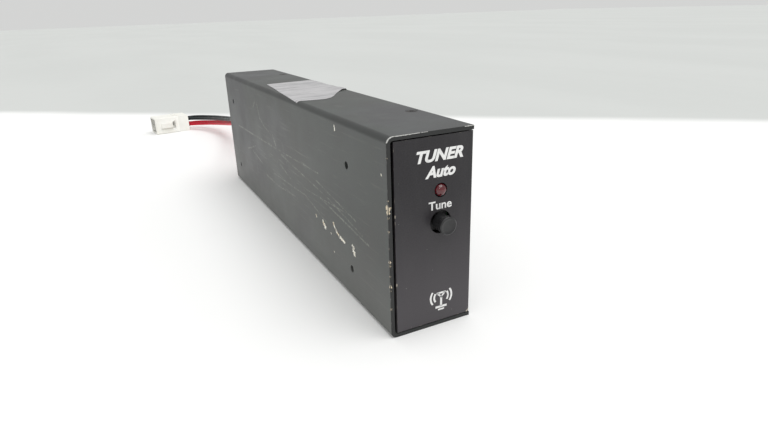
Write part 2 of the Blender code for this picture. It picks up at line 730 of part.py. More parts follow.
def toroid(name, ring, inset, row, turns, wire_radius, finish):
    """A ring core lying on the board with a copper winding round it."""
    hole, outer, height = ring
    clear = wire_radius + TOUCH_GAP
    low = 2 * clear
    chamfer = RING_CHAMFER
    core = [
        (outer - chamfer, height), (outer, height - chamfer), (outer, chamfer), (outer - chamfer, 0.0),
        (hole + chamfer, 0.0), (hole, chamfer), (hole, height - chamfer), (hole + chamfer, height),
    ]
    y = BOARD_FRONT + inset
    z = MIDDLE + row
    seat = (BOARD_SEAT - low, y, z)
    turned(f"{name}_core", core, seat, "-X", finish, closed=True, steps=20)
    middle = (hole + outer) / 2
    half_width = (outer - hole) / 2 + clear
    half_height = height / 2 + clear
    corner = 0.92
    loop = (
        (1.0, 0.0), (1.0, corner), (0.0, 1.0), (-1.0, corner),
        (-1.0, 0.0), (-1.0, -corner), (0.0, -1.0), (1.0, -corner),
    )
    steps = turns * len(loop)
    points = []
    for i in range(steps + 1):
        across, up = loop[i % len(loop)]
        angle = radians(WINDING_ARC) * i / steps
        radius = middle + half_width * across
        lift = seat[0] - height / 2 - half_height * up
        points.append((lift, y + radius * cos(angle), z + radius * sin(angle)))
    wire(f"{name}_winding", points, wire_radius, "copper", sides=1)


def make_components():
    """The switched inductors and capacitors, the sensor and the controller."""
    for index in range(RELAYS):
        y = BOARD_FRONT + RELAY_INSET + RELAY_PITCH * index
        on_board(f"relay_{index + 1}", RELAY_SIZE, y, MIDDLE + RELAY_ROW, "relay_case", bevel=0.0006)
    toroid("large_inductor", LARGE_RING, LARGE_RING_INSET, INDUCTOR_ROW, 9, 0.0005, "iron_powder")
    toroid("small_inductor", SMALL_RING, SMALL_RING_INSET, INDUCTOR_ROW, 9, 0.0004, "iron_powder")
    toroid("sensor", SENSOR_RING, SENSOR_INSET, SENSOR_ROW, 6, 0.0003, "relay_case")
    sides = 10
    coil_x = BOARD_SEAT - COIL_RADIUS - COIL_WIRE_RADIUS - TOUCH_GAP
    coil = [
        (
            coil_x + COIL_RADIUS * cos(2 * pi * i / sides),
            BOARD_FRONT + COIL_INSET + COIL_PITCH * i / sides,
            MIDDLE + INDUCTOR_ROW + COIL_RADIUS * sin(2 * pi * i / sides),
        )
        for i in range(COIL_TURNS * sides + 1)
    ]
    wire("air_coil", coil, COIL_WIRE_RADIUS, "copper", sides=1)
    for index in range(2):
        y = BOARD_FRONT + MICA_INSET + MICA_PITCH * index
        on_board(f"mica_capacitor_{index + 1}", MICA_SIZE, y, MIDDLE + INDUCTOR_ROW, "mica", bevel=0.001)
    y = BOARD_FRONT + CONTROLLER_INSET
    on_board("microcontroller", CONTROLLER_SIZE, y, MIDDLE + CONTROLLER_ROW, "black_plastic")
    can = [
        (0.0, CAN_HEIGHT), (CAN_RADIUS - CAN_CHAMFER, CAN_HEIGHT), (CAN_RADIUS, CAN_HEIGHT - CAN_CHAMFER),
        (CAN_RADIUS, 0.0), (0.0, 0.0),
    ]
    place = (BOARD_SEAT, BOARD_FRONT + CAN_INSET, MIDDLE + RELAY_ROW)
    smooth(turned("supply_capacitor", can, place, "-X", "can_sleeve", steps=20))
    size = (TERMINAL_HEIGHT, TERMINAL_LENGTH, TERMINAL_SPAN)
    y = BOARD_REAR - TERMINAL_LENGTH / 2
    on_board("power_terminal", size, y, GROMMET_Z, "white_plastic", bevel=0.0005)


# ---------------------------------------------------------------- rear panel
def make_socket(name, z):
    """A bulkhead coaxial socket: shell, nut, insulator and centre contact."""
    at = (SOCKET_OFFSET, REAR, z)
    inner = -CHASSIS_SHEET - TOUCH_GAP
    thread = SOCKET_THREAD_RADIUS
    bore = thread - SOCKET_SHELL_WALL
    seat_bore = bore - SOCKET_SEAT_WALL
    flange = thread + SOCKET_FLANGE_WALL
    flange_end = inner - SOCKET_FLANGE_THICKNESS
    tail = -SOCKET_TAIL
    seat = SOCKET_PROUD - SOCKET_BORE_DEPTH
    shell = [
        (thread - THREAD_CHAMFER, SOCKET_PROUD), (thread, SOCKET_PROUD - THREAD_CHAMFER), (thread, inner),
        (flange, inner), (flange, flange_end), (bore, flange_end), (bore, tail),
        (seat_bore, tail), (seat_bore, seat), (bore, seat), (bore, SOCKET_PROUD),
    ]
    smooth(turned(f"{name}_shell", shell, at, "+Y", "nickel", closed=True))
    across = 2 * (thread + SOCKET_NUT_WALL)
    nut_end = TOUCH_GAP + SOCKET_NUT_THICKNESS
    nut = hexagon(f"{name}_nut", across, TOUCH_GAP, nut_end, at, "+Y", "nickel")
    cut(nut, pin(f"{name}_nut_thread", thread + FIT, -SOCKET_NUT_THICKNESS, 2 * nut_end, at, "+Y"))
    core = seat_bore - FIT
    hole = SOCKET_CONTACT_RADIUS + FIT
    insulator = [(core, seat), (core, tail), (hole, tail), (hole, seat)]
    smooth(turned(f"{name}_insulator", insulator, at, "+Y", "socket_insulator", closed=True, steps=20))
    tip = SOCKET_PROUD - SOCKET_CONTACT_SHY
    floor = tip - SOCKET_CONTACT_DEPTH
    end = tail - SOCKET_CONTACT_TAIL
    jaw = SOCKET_CONTACT_RADIUS - SOCKET_CONTACT_WALL
    contact = [
        (0.0, floor), (jaw, floor), (jaw, tip),
        (SOCKET_CONTACT_RADIUS, tip), (SOCKET_CONTACT_RADIUS, end), (0.0, end),
    ]
    turned(f"{name}_contact", contact, at, "+Y", "nickel", steps=16)


def make_jack():
    """The round control jack: a moulded body with a ring slot and six pin holes."""
    at = (JACK_OFFSET, REAR, JACK_Z)
    inner = -CHASSIS_SHEET - TOUCH_GAP
    deep = JACK_BODY[1]
    centre = (JACK_OFFSET, REAR + inner - deep / 2, JACK_Z)
    jack = box("control_jack", JACK_BODY, centre, "black_plastic")
    over = JACK_PROUD * 2.5
    join(jack, pin("jack_nose", JACK_RADIUS, inner - over, JACK_PROUD, at, "+Y"))
    narrow, wide = JACK_SLOT
    slot = [(wide, over), (wide, -JACK_SLOT_DEPTH), (narrow, -JACK_SLOT_DEPTH), (narrow, over)]
    cut(jack, turned("jack_slot", slot, at, "+Y", closed=True, steps=20))
    for index in range(JACK_PINS):
        angle = radians(30.0 + 48.0 * index)
        spot = (at[0] + JACK_PIN_CIRCLE * cos(angle), at[1], at[2] + JACK_PIN_CIRCLE * sin(angle))
        hole = pin(f"jack_pin_hole_{index + 1}", JACK_PIN_RADIUS, -JACK_PIN_DEPTH, over, spot, "+Y", steps=6)
        cut(jack, hole)


def make_earth_stud():
    """The earth stud with its hexagonal head inside the panel and its wing nut outside."""
    at = (STUD_OFFSET, REAR, STUD_Z)
    inner = -CHASSIS_SHEET - TOUCH_GAP
    head = inner - STUD_HEAD_THICKNESS
    stud = hexagon("earth_stud", STUD_HEAD_ACROSS_FLATS, head, inner, at, "+Y", "brass")
    join(stud, pin("stud_shank", STUD_RADIUS, (head + inner) / 2, STUD_PROUD, at, "+Y", steps=16))
    low = TOUCH_GAP
    hub = [
        (WING_HUB_RADIUS * 0.8, low + WING_HUB_HEIGHT), (WING_HUB_RADIUS, low),
        (STUD_RADIUS + FIT, low), (STUD_RADIUS + FIT, low + WING_HUB_HEIGHT),
    ]
    nut = turned("wing_nut", hub, at, "+Y", "nickel", closed=True, steps=20)
    half = WING_SPAN / 2
    base = STUD_RADIUS + 2 * FIT
    wing = [
        (base, low + 0.0006), (half * 0.62, low + 0.0016), (half * 0.9, low + 0.0045),
        (half, low + WING_HEIGHT * 0.8), (half * 0.94, low + WING_HEIGHT), (half * 0.78, low + WING_HEIGHT),
        (half * 0.55, low + WING_HEIGHT * 0.72), (base, low + WING_HUB_HEIGHT - 0.0002),
    ]
    for side, sign in (("right", 1), ("left", -1)):
        points = [(sign * x, y) for x, y in wing]
        plate = outline_plate(f"wing_{side}", points, WING_THICKNESS, at, (0.0, 0.0, 0.0))
        join(nut, plate)


def make_grommet():
    """The rubber grommet that the power lead leaves through."""
    at = (GROMMET_OFFSET, REAR, GROMMET_Z)
    inner = -CHASSIS_SHEET - TOUCH_GAP
    neck = GROMMET_HOLE_RADIUS - FIT
    wide = GROMMET_FLANGE_RADIUS
    edge = 0.0005
    outer = TOUCH_GAP + GROMMET_FLANGE
    profile = [
        (wide - edge, outer), (wide, outer - edge), (wide, TOUCH_GAP), (neck, TOUCH_GAP), (neck, inner),
        (wide, inner), (wide, inner - GROMMET_FLANGE + edge), (wide - edge, inner - GROMMET_FLANGE),
        (GROMMET_BORE_RADIUS, inner - GROMMET_FLANGE), (GROMMET_BORE_RADIUS, outer),
    ]
    smooth(turned("lead_grommet", profile, at, "+Y", "rubber", closed=True))


# ---------------------------------------------------------------- power lead
def plug_frame():
    """The plug's own frame: x towards its wires, y across, z up from what it lies on."""
    turn = Matrix.Rotation(radians(PLUG_TURN), 4, "Z")
    return Matrix.Translation((PLUG_OFFSET, REAR + PLUG_BEHIND, 0.0)) @ turn


def smooth_path(points, spacing):
    """Points at an even spacing on a Catmull-Rom curve through the given ones."""
    points = [Vector(point) for point in points]
    guides = [2 * points[0] - points[1]] + points + [2 * points[-1] - points[-2]]
    fine = []
    for a, b, c, d in zip(guides, guides[1:], guides[2:], guides[3:]):
        for step in range(20):
            t = step / 20
            fine.append(
                0.5 * (2 * b + (c - a) * t + (2 * a - 5 * b + 4 * c - d) * t**2
                       + (3 * b - a - 3 * c + d) * t**3)
            )
    fine.append(points[-1])
    lengths = [0.0]
    for one, two in zip(fine, fine[1:]):
        lengths.append(lengths[-1] + (two - one).length)
    count = round(lengths[-1] / spacing)
    even = []
    at = 0
    for index in range(count + 1):
        goal = lengths[-1] * index / count
        while at < len(fine) - 2 and lengths[at + 1] < goal:
            at += 1
        share = (goal - lengths[at]) / (lengths[at + 1] - lengths[at])
        even.append(fine[at].lerp(fine[at + 1], min(max(share, 0.0), 1.0)))
    return even


def lead_points(side, level):
    """One wire's points: from the terminal, through the grommet and along the lead to its plug hole."""
    frame = plug_frame()
    terminal_x = BOARD_SEAT - TERMINAL_HEIGHT + WIRE_PITCH
    start_y = BOARD_REAR + 2 * TOUCH_GAP
    offset = Vector((side * WIRE_PITCH / 2, 0.0, level * WIRE_PITCH / 2))
    points = [
        Vector((terminal_x, start_y, GROMMET_Z)) + offset,
        Vector((terminal_x, start_y + 0.002, GROMMET_Z)) + offset,
    ]
    for index, (x, behind, z) in enumerate(LEAD_ROUTE):
        share = max(0.0, (index - 3) / (len(LEAD_ROUTE) - 4))
        across = WIRE_PITCH / 2 * (1 - share) + PLUG_CONTACT_PITCH * share**2
        up = WIRE_PITCH / 2 * (1 - share) + PLUG_CONTACT_PITCH / 2 * share
        ahead = Vector(LEAD_ROUTE[min(index + 1, len(LEAD_ROUTE) - 1)])
        back = Vector(LEAD_ROUTE[max(index - 1, 0)])
        way = (ahead - back).normalized()
        sideways = way.cross(Vector((0, 0, 1))).normalized()
        middle = Vector((x, REAR + behind, z))
        turn = radians(LEAD_TWIST) * (1 - share)
        aside = side * across * cos(turn) - level * up * sin(turn)
        lift = side * across * sin(turn) + level * up * cos(turn)
        points.append(middle + sideways * aside + Vector((0, 0, lift)))
    entry = PLUG_LENGTH / 2
    height = PLUG_HEIGHT / 2 + level * PLUG_CONTACT_PITCH / 2
    for reach in (0.0015, -0.004):
        points.append(frame @ Vector((entry + reach, side * PLUG_CONTACT_PITCH, height)))
    return smooth_path(points, WIRE_RADIUS * 5)


WIRES = {
    "wire_black_near": (-1, 1, "black_wire"),
    "wire_black_far": (1, 1, "black_wire"),
    "wire_red_near": (-1, -1, "red_wire"),
    "wire_red_far": (1, -1, "red_wire"),
}


def make_lead():
    """The four wires of the power lead and the contacts on their ends."""
    for name, (side, level, finish) in WIRES.items():
        wire(name, lead_points(side, level), WIRE_RADIUS, finish)


def make_plug():
    """The white nylon plug that lies behind the tuner, its four contacts and its two latches."""
    frame = plug_frame()
    middle = PLUG_HEIGHT / 2
    half = PLUG_LENGTH / 2

    def placed(thing):
        thing.matrix_world = frame @ thing.matrix_basis
        return thing

    size = (PLUG_LENGTH, PLUG_WIDTH, PLUG_HEIGHT)
    housing = placed(box("plug_housing", size, (0, 0, middle), "white_plastic", 0.0008, 2))
    mouth_size = (PLUG_MOUTH_DEPTH + 0.002, PLUG_WIDTH - 2 * PLUG_WALL, PLUG_HEIGHT - 2 * PLUG_WALL)
    mouth_at = (-half + PLUG_MOUTH_DEPTH / 2 - 0.001, 0, middle)
    cut(housing, placed(box("plug_mouth", mouth_size, mouth_at)))
    for index, (column, row) in enumerate((c, r) for c in (-1, 0, 1) for r in (-1, 1)):
        spot = (0, column * PLUG_CONTACT_PITCH, middle + row * PLUG_CONTACT_PITCH / 2)
        bore = pin(f"plug_bore_{index + 1}", PLUG_HOLE_RADIUS, -half, half + 0.001, spot, "+X", steps=16)
        cut(housing, placed(bore))
    for side, sign in (("near", -1), ("far", 1)):
        spot = (-half + PLUG_LATCH[0], sign * (PLUG_WIDTH / 2 + PLUG_LATCH_LIFT), middle)
        join(housing, placed(box(f"plug_latch_{side}", PLUG_LATCH, spot, bevel=0.0005)))
    rib_size = (PLUG_RIB, PLUG_WIDTH * 0.8, PLUG_RIB)
    join(housing, placed(box("plug_rib", rib_size, (PLUG_RIB_AT, 0, PLUG_HEIGHT), bevel=0.0004)))
    start = -half + PLUG_CONTACT_INSET
    for name, (side, level, _) in WIRES.items():
        spot = (0, side * PLUG_CONTACT_PITCH, middle + level * PLUG_CONTACT_PITCH / 2)
        nose = 0.0006
        contact = [
            (0.0, -start), (PLUG_CONTACT_RADIUS - nose, -start), (PLUG_CONTACT_RADIUS, -start - nose),
            (PLUG_CONTACT_RADIUS, -start - PLUG_CONTACT_LENGTH), (0.0, -start - PLUG_CONTACT_LENGTH),
        ]
        label = name.replace("wire_", "contact_")
        placed(turned(label, contact, spot, "-X", "brass", steps=12))


# ---------------------------------------------------------------- tape
def make_tape():
    """A strip of clear tape across the top, folded down over the right side."""
    lift = CASE_HEIGHT + TAPE_THICKNESS + TOUCH_GAP / 2
    side = RIGHT + TAPE_THICKNESS + TOUCH_GAP
    corners = [(LEFT + TAPE_LEFT_INSET, lift), (side, lift), (side, CASE_HEIGHT - TAPE_FLAP)]
    folded_sheet(
        "clear_tape", corners, 0.0006, "Y", FRONT + TAPE_FRONT_INSET, REAR - TAPE_REAR_INSET,
        TAPE_THICKNESS, "clear_film",
    )


make_cover()
make_cover_screws()
make_chassis()
make_button()
make_switch()
make_lamp()
make_board()
make_components()
make_socket("antenna_socket", TOP_SOCKET_Z)
make_socket("radio_socket", LOW_SOCKET_Z)
make_jack()
make_earth_stud()
make_grommet()
make_lead()
make_plug()
make_tape()
bpy.context.view_layer.update()
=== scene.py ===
# %% [markdown]
# # A side-mounted antenna tuner, dressed in cells
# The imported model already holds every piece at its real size. This lesson gives the pieces their finished
# shapes and surfaces: folded painted sheet, turned metal, moulded plastic, a rumpled strip of clear tape
# and a four-wire power lead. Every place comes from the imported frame, so nothing has to be fitted later.

# %% Load the frame
from math import atan2, cos, exp, pi, radians, sin, sqrt

import bmesh
import bpy
from mathutils import Matrix, Vector, noise


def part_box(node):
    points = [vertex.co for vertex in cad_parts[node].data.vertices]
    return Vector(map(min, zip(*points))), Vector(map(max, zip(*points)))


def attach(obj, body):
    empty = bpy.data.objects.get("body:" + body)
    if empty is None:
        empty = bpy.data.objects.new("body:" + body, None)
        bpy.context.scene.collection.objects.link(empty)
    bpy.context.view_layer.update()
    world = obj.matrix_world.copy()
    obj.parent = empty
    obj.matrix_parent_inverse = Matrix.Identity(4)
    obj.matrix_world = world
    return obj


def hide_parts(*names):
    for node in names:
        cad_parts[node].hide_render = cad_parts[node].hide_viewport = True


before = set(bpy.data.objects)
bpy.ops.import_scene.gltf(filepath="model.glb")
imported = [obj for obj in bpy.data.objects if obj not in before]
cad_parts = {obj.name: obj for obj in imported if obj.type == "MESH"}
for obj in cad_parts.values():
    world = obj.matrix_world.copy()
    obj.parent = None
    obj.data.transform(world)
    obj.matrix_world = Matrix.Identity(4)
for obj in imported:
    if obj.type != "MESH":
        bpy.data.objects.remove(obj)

SCENE = bpy.context.scene
MM = 0.001
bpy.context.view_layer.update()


# %% Places on the object
def middle(node):
    """The middle of a CAD node's box."""
    low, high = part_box(node)
    return (low + high) / 2


COVER_LOW, COVER_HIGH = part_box("cover")
PANEL_LOW, PANEL_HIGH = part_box("chassis")
LEFT, FRONT, BOTTOM = COVER_LOW
RIGHT, REAR, TOP = COVER_HIGH
SHEET = 1.6 * MM
COVER_FOLD = 2.6 * MM
PANEL_SHEET = 1.5 * MM
PANEL_FOLD = 2.0 * MM
GAP = 0.3 * MM
BUTTON = middle("tune_button")
LAMP = Vector((BUTTON.x, FRONT, middle("status_lamp").z))
GROMMET = middle("lead_grommet")
print("case", [round(1000 * v, 1) for v in (RIGHT - LEFT, REAR - FRONT, TOP - BOTTOM)], "mm")

# %% [markdown]
# ## Camera
# The camera comes first. It stands low in front of the left edge with a wide lens, so the long case runs away
# from it in strong perspective.

# %% Camera
EYE = Vector((-102.1, -295.5, 122.4)) * MM
AIM = Vector((-20.2, -131.0, 52.5)) * MM
LENS = 25.57
ROLL = radians(-1.86)
camera = bpy.data.objects.new("camera", bpy.data.cameras.new("camera"))
SCENE.collection.objects.link(camera)
SCENE.camera = camera
camera.data.lens = LENS
camera.data.clip_start = 5 * MM
look = (AIM - EYE).to_track_quat("-Z", "Y").to_matrix().to_4x4()
camera.matrix_world = Matrix.Translation(EYE) @ look @ Matrix.Rotation(ROLL, 4, "Z")
print("camera", round((AIM - EYE).length, 3), "m from its aim")

# %% [markdown]
# ## Power lead
# Four stranded wires leave the rear grommet in a square bundle, sink to the surface the tuner stands on and
# fan out into a white plug. A wire is a curve with a round bevel: it keeps its length, it can be measured,
# and its bends stay smooth. The middle of the bundle is a short list of points, and each wire keeps its own
# side of it until it reaches its plug hole.

# %% The lead's route
WIRE_RADIUS = 1.5 * MM
WIRE_PITCH = 3.3 * MM
LEAD_TWIST = radians(25.0)
PLUG_PLACE = Vector((-40.8 * MM, REAR + 229.0 * MM, 0.0))
PLUG_TURN = radians(8.0)
PLUG_SIZE = Vector((36.0, 20.8, 17.5)) * MM
CONTACT_PITCH = 6.35 * MM
LEAD_ROUTE = (  # x, y behind the rear panel, height
    (-0.0060, -0.0060, 0.0420), (-0.0060, 0.0000, 0.0420), (-0.0060, 0.0110, 0.0420),
    (-0.0055, 0.0240, 0.0410), (-0.0040, 0.0400, 0.0385), (-0.0016, 0.0580, 0.0349),
    (0.0012, 0.0780, 0.0308), (0.0040, 0.0980, 0.0271), (0.0062, 0.1180, 0.0236),
    (0.0076, 0.1380, 0.0203), (0.0080, 0.1570, 0.0175), (0.0072, 0.1750, 0.0150),
    (0.0050, 0.1910, 0.0130), (0.0014, 0.2050, 0.0114), (-0.0036, 0.2165, 0.0102),
    (-0.0100, 0.2254, 0.0095), (-0.0168, 0.2306, 0.0091),
)
PLUG_FRAME = Matrix.Translation(PLUG_PLACE) @ Matrix.Rotation(PLUG_TURN, 4, "Z")


def smooth_path(points, spacing):
    """Evenly spaced points on a Catmull-Rom curve through the given ones."""
    guides = [2 * points[0] - points[1]] + points + [2 * points[-1] - points[-2]]
    fine = []
    for a, b, c, d in zip(guides, guides[1:], guides[2:], guides[3:]):
        for step in range(20):
            t = step / 20
            bend = (2 * a - 5 * b + 4 * c - d) * t**2 + (3 * b - a - 3 * c + d) * t**3
            fine.append(0.5 * (2 * b + (c - a) * t + bend))
    fine.append(points[-1])
    along = [0.0]
    for one, two in zip(fine, fine[1:]):
        along.append(along[-1] + (two - one).length)
    count = round(along[-1] / spacing)
    even = []
    at = 0
    for index in range(count + 1):
        goal = along[-1] * index / count
        while at < len(fine) - 2 and along[at + 1] < goal:
            at += 1
        share = (goal - along[at]) / (along[at + 1] - along[at])
        even.append(fine[at].lerp(fine[at + 1], min(max(share, 0.0), 1.0)))
    return even


def lead_points(side, level):
    """One wire from its terminal inside the case to its hole in the plug."""
    terminal_low, terminal_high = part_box("power_terminal")
    start = Vector((terminal_low.x + WIRE_PITCH, terminal_high.y + 2 * GAP, GROMMET.z))
    offset = Vector((side * WIRE_PITCH / 2, 0.0, level * WIRE_PITCH / 2))
    points = [start + offset, start + offset + Vector((0.0, 2 * MM, 0.0))]
    last = len(LEAD_ROUTE) - 1
    for index, (x, behind, z) in enumerate(LEAD_ROUTE):
        share = max(0.0, (index - 3) / (last - 3))
        across = WIRE_PITCH / 2 * (1 - share) + CONTACT_PITCH * share**2
        up = WIRE_PITCH / 2 * (1 - share) + CONTACT_PITCH / 2 * share
        ahead = Vector(LEAD_ROUTE[min(index + 1, last)])
        back = Vector(LEAD_ROUTE[max(index - 1, 0)])
        sideways = (ahead - back).cross(Vector((0, 0, 1))).normalized()
        turn = LEAD_TWIST * (1 - share)
        aside = side * across * cos(turn) - level * up * sin(turn)
        lift = side * across * sin(turn) + level * up * cos(turn)
        points.append(Vector((x, REAR + behind, z + lift)) + sideways * aside)
    height = PLUG_SIZE.z / 2 + level * CONTACT_PITCH / 2
    for reach in (1.5 * MM, -4.0 * MM):
        points.append(PLUG_FRAME @ Vector((PLUG_SIZE.x / 2 + reach, side * CONTACT_PITCH, height)))
    return smooth_path(points, 1.5 * MM)


# %% Four wires as curves
WIRES = {
    "wire_black_near": (-1, 1), "wire_black_far": (1, 1),
    "wire_red_near": (-1, -1), "wire_red_far": (1, -1),
}
wires = {}
for label, (side, level) in WIRES.items():
    route = lead_points(side, level)
    curve = bpy.data.curves.new(f"lead_{label}", "CURVE")
    curve.dimensions = "3D"
    curve.bevel_depth = WIRE_RADIUS
    curve.bevel_resolution = 6
    curve.use_fill_caps = True
    spline = curve.splines.new("POLY")
    spline.points.add(len(route) - 1)
    for point, place in zip(spline.points, route):
        point.co = (*place, 1.0)
    wire = bpy.data.objects.new(f"lead_{label}", curve)
    SCENE.collection.objects.link(wire)
    wires[label] = (wire, sum((b - a).length for a, b in zip(route, route[1:])))
    print(label, round(wires[label][1], 3), "m")

# %% [markdown]
# ## Shader helpers
# Every finish here is a small network: one Principled shader fed by masks and values that change over the
# surface. The helpers below keep that wiring short enough to read. All patterns use Object coordinates,
# which are metres on the piece itself, so a grain of half a millimetre is half a millimetre everywhere.


# %% Nodes in one line each
def add(tree, kind, inputs=None, **settings):
    """A node with its settings, its plain values and its links."""
    made = tree.nodes.new(kind)
    for key, value in settings.items():
        setattr(made, key, value)
    for key, value in (inputs or {}).items():
        if isinstance(value, bpy.types.NodeSocket):
            tree.links.new(value, made.inputs[key])
        else:
            made.inputs[key].default_value = value
    return made


def sums(tree, operation, one, two=0.0, clamp=False):
    """One Math node's result."""
    made = add(tree, "ShaderNodeMath", {0: one, 1: two}, operation=operation)
    made.use_clamp = clamp
    return made.outputs[0]


def vectors(tree, operation, one, two=(0.0, 0.0, 0.0), result="Vector"):
    """One Vector Math node's result."""
    made = add(tree, "ShaderNodeVectorMath", {0: one, 1: two}, operation=operation)
    return made.outputs[result]


def fade(tree, value, start, end, low=0.0, high=1.0):
    """A smooth step from low at start to high at end."""
    inputs = {"Value": value, "From Min": start, "From Max": end, "To Min": low, "To Max": high}
    return add(tree, "ShaderNodeMapRange", inputs, interpolation_type="SMOOTHSTEP").outputs["Result"]


def blend(tree, factor, one, two):
    """A mix of two colours, each a socket or a plain colour."""
    inputs = {0: factor, 6: one, 7: two}
    for key in (6, 7):
        if not isinstance(inputs[key], bpy.types.NodeSocket):
            inputs[key] = (*inputs[key], 1.0)
    return add(tree, "ShaderNodeMix", inputs, data_type="RGBA").outputs[2]


def speckle(tree, place, scale, detail=3.0, roughness=0.5):
    """A noise value from 0 to 1 with the given number of features in a metre."""
    inputs = {"Vector": place, "Scale": scale, "Detail": detail, "Roughness": roughness}
    return add(tree, "ShaderNodeTexNoise", inputs).outputs["Fac"]


def stretched(tree, place, scale, turn=(0.0, 0.0, 0.0)):
    """Coordinates scaled by their own amount along each axis, and turned."""
    return add(tree, "ShaderNodeMapping", {"Vector": place, "Scale": scale, "Rotation": turn}).outputs[0]


def new_group(name, inputs, outputs):
    """An empty shader group with its named sockets, and its two end nodes."""
    group = bpy.data.node_groups.new(name, "ShaderNodeTree")
    for label, kind, value in inputs:
        socket = group.interface.new_socket(label, in_out="INPUT", socket_type=kind)
        socket.default_value = value
    for label in outputs:
        group.interface.new_socket(label, in_out="OUTPUT", socket_type="NodeSocketFloat")
    return group, group.nodes.new("NodeGroupInput").outputs, group.nodes.new("NodeGroupOutput").inputs


def use(tree, group, **inputs):
    """A group placed in a material with its own values. An underscore stands for a space."""
    made = tree.nodes.new("ShaderNodeGroup")
    made.node_tree = group
    for key, value in inputs.items():
        label = key.replace("_", " ")
        if isinstance(value, bpy.types.NodeSocket):
            tree.links.new(value, made.inputs[label])
        else:
            made.inputs[label].default_value = value
    return made.outputs


def new_material(name, **values):
    """A Principled material, its tree, its shader's inputs and its Object coordinates."""
    material = bpy.data.materials.new(name)
    material.use_nodes = True
    tree = material.node_tree
    inputs = tree.nodes["Principled BSDF"].inputs
    for key, value in values.items():
        inputs[key.replace("_", " ")].default_value = value
    return material, tree, inputs, add(tree, "ShaderNodeTexCoord").outputs["Object"]


def feed(tree, inputs, **sockets):
    """Link results to the shader's inputs."""
    for key, value in sockets.items():
        tree.links.new(value, inputs[key.replace("_", " ")])


def bumped(tree, inputs, height, distance, strength=1.0):
    """Feed a height into the shader's normal."""
    values = {"Height": height, "Distance": distance, "Strength": strength}
    tree.links.new(add(tree, "ShaderNodeBump", values).outputs["Normal"], inputs["Normal"])


# %% [markdown]
# ## Effects that several finishes share
# Paint grain, bare edges, single scratches and sparse nicks turn up on more than one piece. Each is a group
# with named inputs, built once. A scratch is a capsule: the distance from a point to a short line, made
# ragged by a little noise. An edge is found from the piece's own box, as the second smallest distance to
# its faces.

# %% Grain and blotches
FLOAT = "NodeSocketFloat"
VECTOR = "NodeSocketVector"
GRAIN, g_in, g_out = new_group(
    "paint_grain", [("Place", VECTOR, (0, 0, 0)), ("Grains", FLOAT, 2600.0), ("Patches", FLOAT, 45.0)],
    ["Fine", "Broad"],
)
GRAIN.links.new(speckle(GRAIN, g_in["Place"], g_in["Grains"], 3.0, 0.6), g_out["Fine"])
GRAIN.links.new(speckle(GRAIN, g_in["Place"], g_in["Patches"], 4.0, 0.6), g_out["Broad"])

# %% One scratch
SCRATCH, s_in, s_out = new_group(
    "scratch",
    [("Place", VECTOR, (0, 0, 0)), ("Start", VECTOR, (0, 0, 0)), ("End", VECTOR, (0, 0, 0)),
     ("Width", FLOAT, 0.3 * MM), ("Ragged", FLOAT, 0.5)],
    ["Mask"],
)
along = vectors(SCRATCH, "SUBTRACT", s_in["End"], s_in["Start"])
from_start = vectors(SCRATCH, "SUBTRACT", s_in["Place"], s_in["Start"])
dot_one = vectors(SCRATCH, "DOT_PRODUCT", from_start, along, "Value")
dot_two = vectors(SCRATCH, "DOT_PRODUCT", along, along, "Value")
share = sums(SCRATCH, "DIVIDE", dot_one, dot_two, clamp=True)
scaled = {0: along, "Scale": share}
scaled = add(SCRATCH, "ShaderNodeVectorMath", scaled, operation="SCALE").outputs["Vector"]
gap = vectors(SCRATCH, "DISTANCE", from_start, scaled, "Value")
worn = sums(SCRATCH, "MULTIPLY", s_in["Ragged"], s_in["Width"])
gap = sums(SCRATCH, "ADD", gap, worn)
SCRATCH.links.new(fade(SCRATCH, gap, s_in["Width"], 0.0), s_out["Mask"])

# %% Bare edges of a box
EDGES, e_in, e_out = new_group(
    "edge_wear",
    [("Place", VECTOR, (0, 0, 0)), ("Low", VECTOR, (0, 0, 0)), ("High", VECTOR, (0, 0, 0)),
     ("Reach", FLOAT, 0.5 * MM), ("Ragged", FLOAT, 0.5)],
    ["Mask"],
)
inside = vectors(EDGES, "MINIMUM", vectors(EDGES, "SUBTRACT", e_in["Place"], e_in["Low"]),
                 vectors(EDGES, "SUBTRACT", e_in["High"], e_in["Place"]))
three = add(EDGES, "ShaderNodeSeparateXYZ", {0: vectors(EDGES, "ABSOLUTE", inside)}).outputs
small = sums(EDGES, "MINIMUM", three["X"], three["Y"])
large = sums(EDGES, "MAXIMUM", three["X"], three["Y"])
second = sums(EDGES, "MAXIMUM", small, sums(EDGES, "MINIMUM", large, three["Z"]))
reach = sums(EDGES, "MULTIPLY", e_in["Reach"], e_in["Ragged"])
EDGES.links.new(fade(EDGES, second, reach, 0.0), e_out["Mask"])

# %% Sparse nicks
NICKS, n_in, n_out = new_group(
    "sparse_nicks",
    [("Place", VECTOR, (0, 0, 0)), ("Cells", FLOAT, 160.0), ("Size", FLOAT, 0.06), ("Share", FLOAT, 0.2)],
    ["Mask"],
)
cells = add(NICKS, "ShaderNodeTexVoronoi", {"Vector": n_in["Place"], "Scale": n_in["Cells"]})
chance = add(NICKS, "ShaderNodeSeparateXYZ", {0: cells.outputs["Color"]}).outputs["X"]
chosen = sums(NICKS, "LESS_THAN", chance, n_in["Share"])
dot = fade(NICKS, cells.outputs["Distance"], n_in["Size"], 0.0)
NICKS.links.new(sums(NICKS, "MULTIPLY", dot, chosen), n_out["Mask"])
print("groups", [group.name for group in (GRAIN, SCRATCH, EDGES, NICKS)])

# %% [markdown]
# ## Mesh helpers
# A turned piece is a profile walked round an axis. A thread is the same walk with a radius that climbs as it
# goes round. Cuts are exact Booleans, and a narrow bevel afterwards gives every edge a rim that catches
# light. Each helper returns a plain mesh with its place already in it.

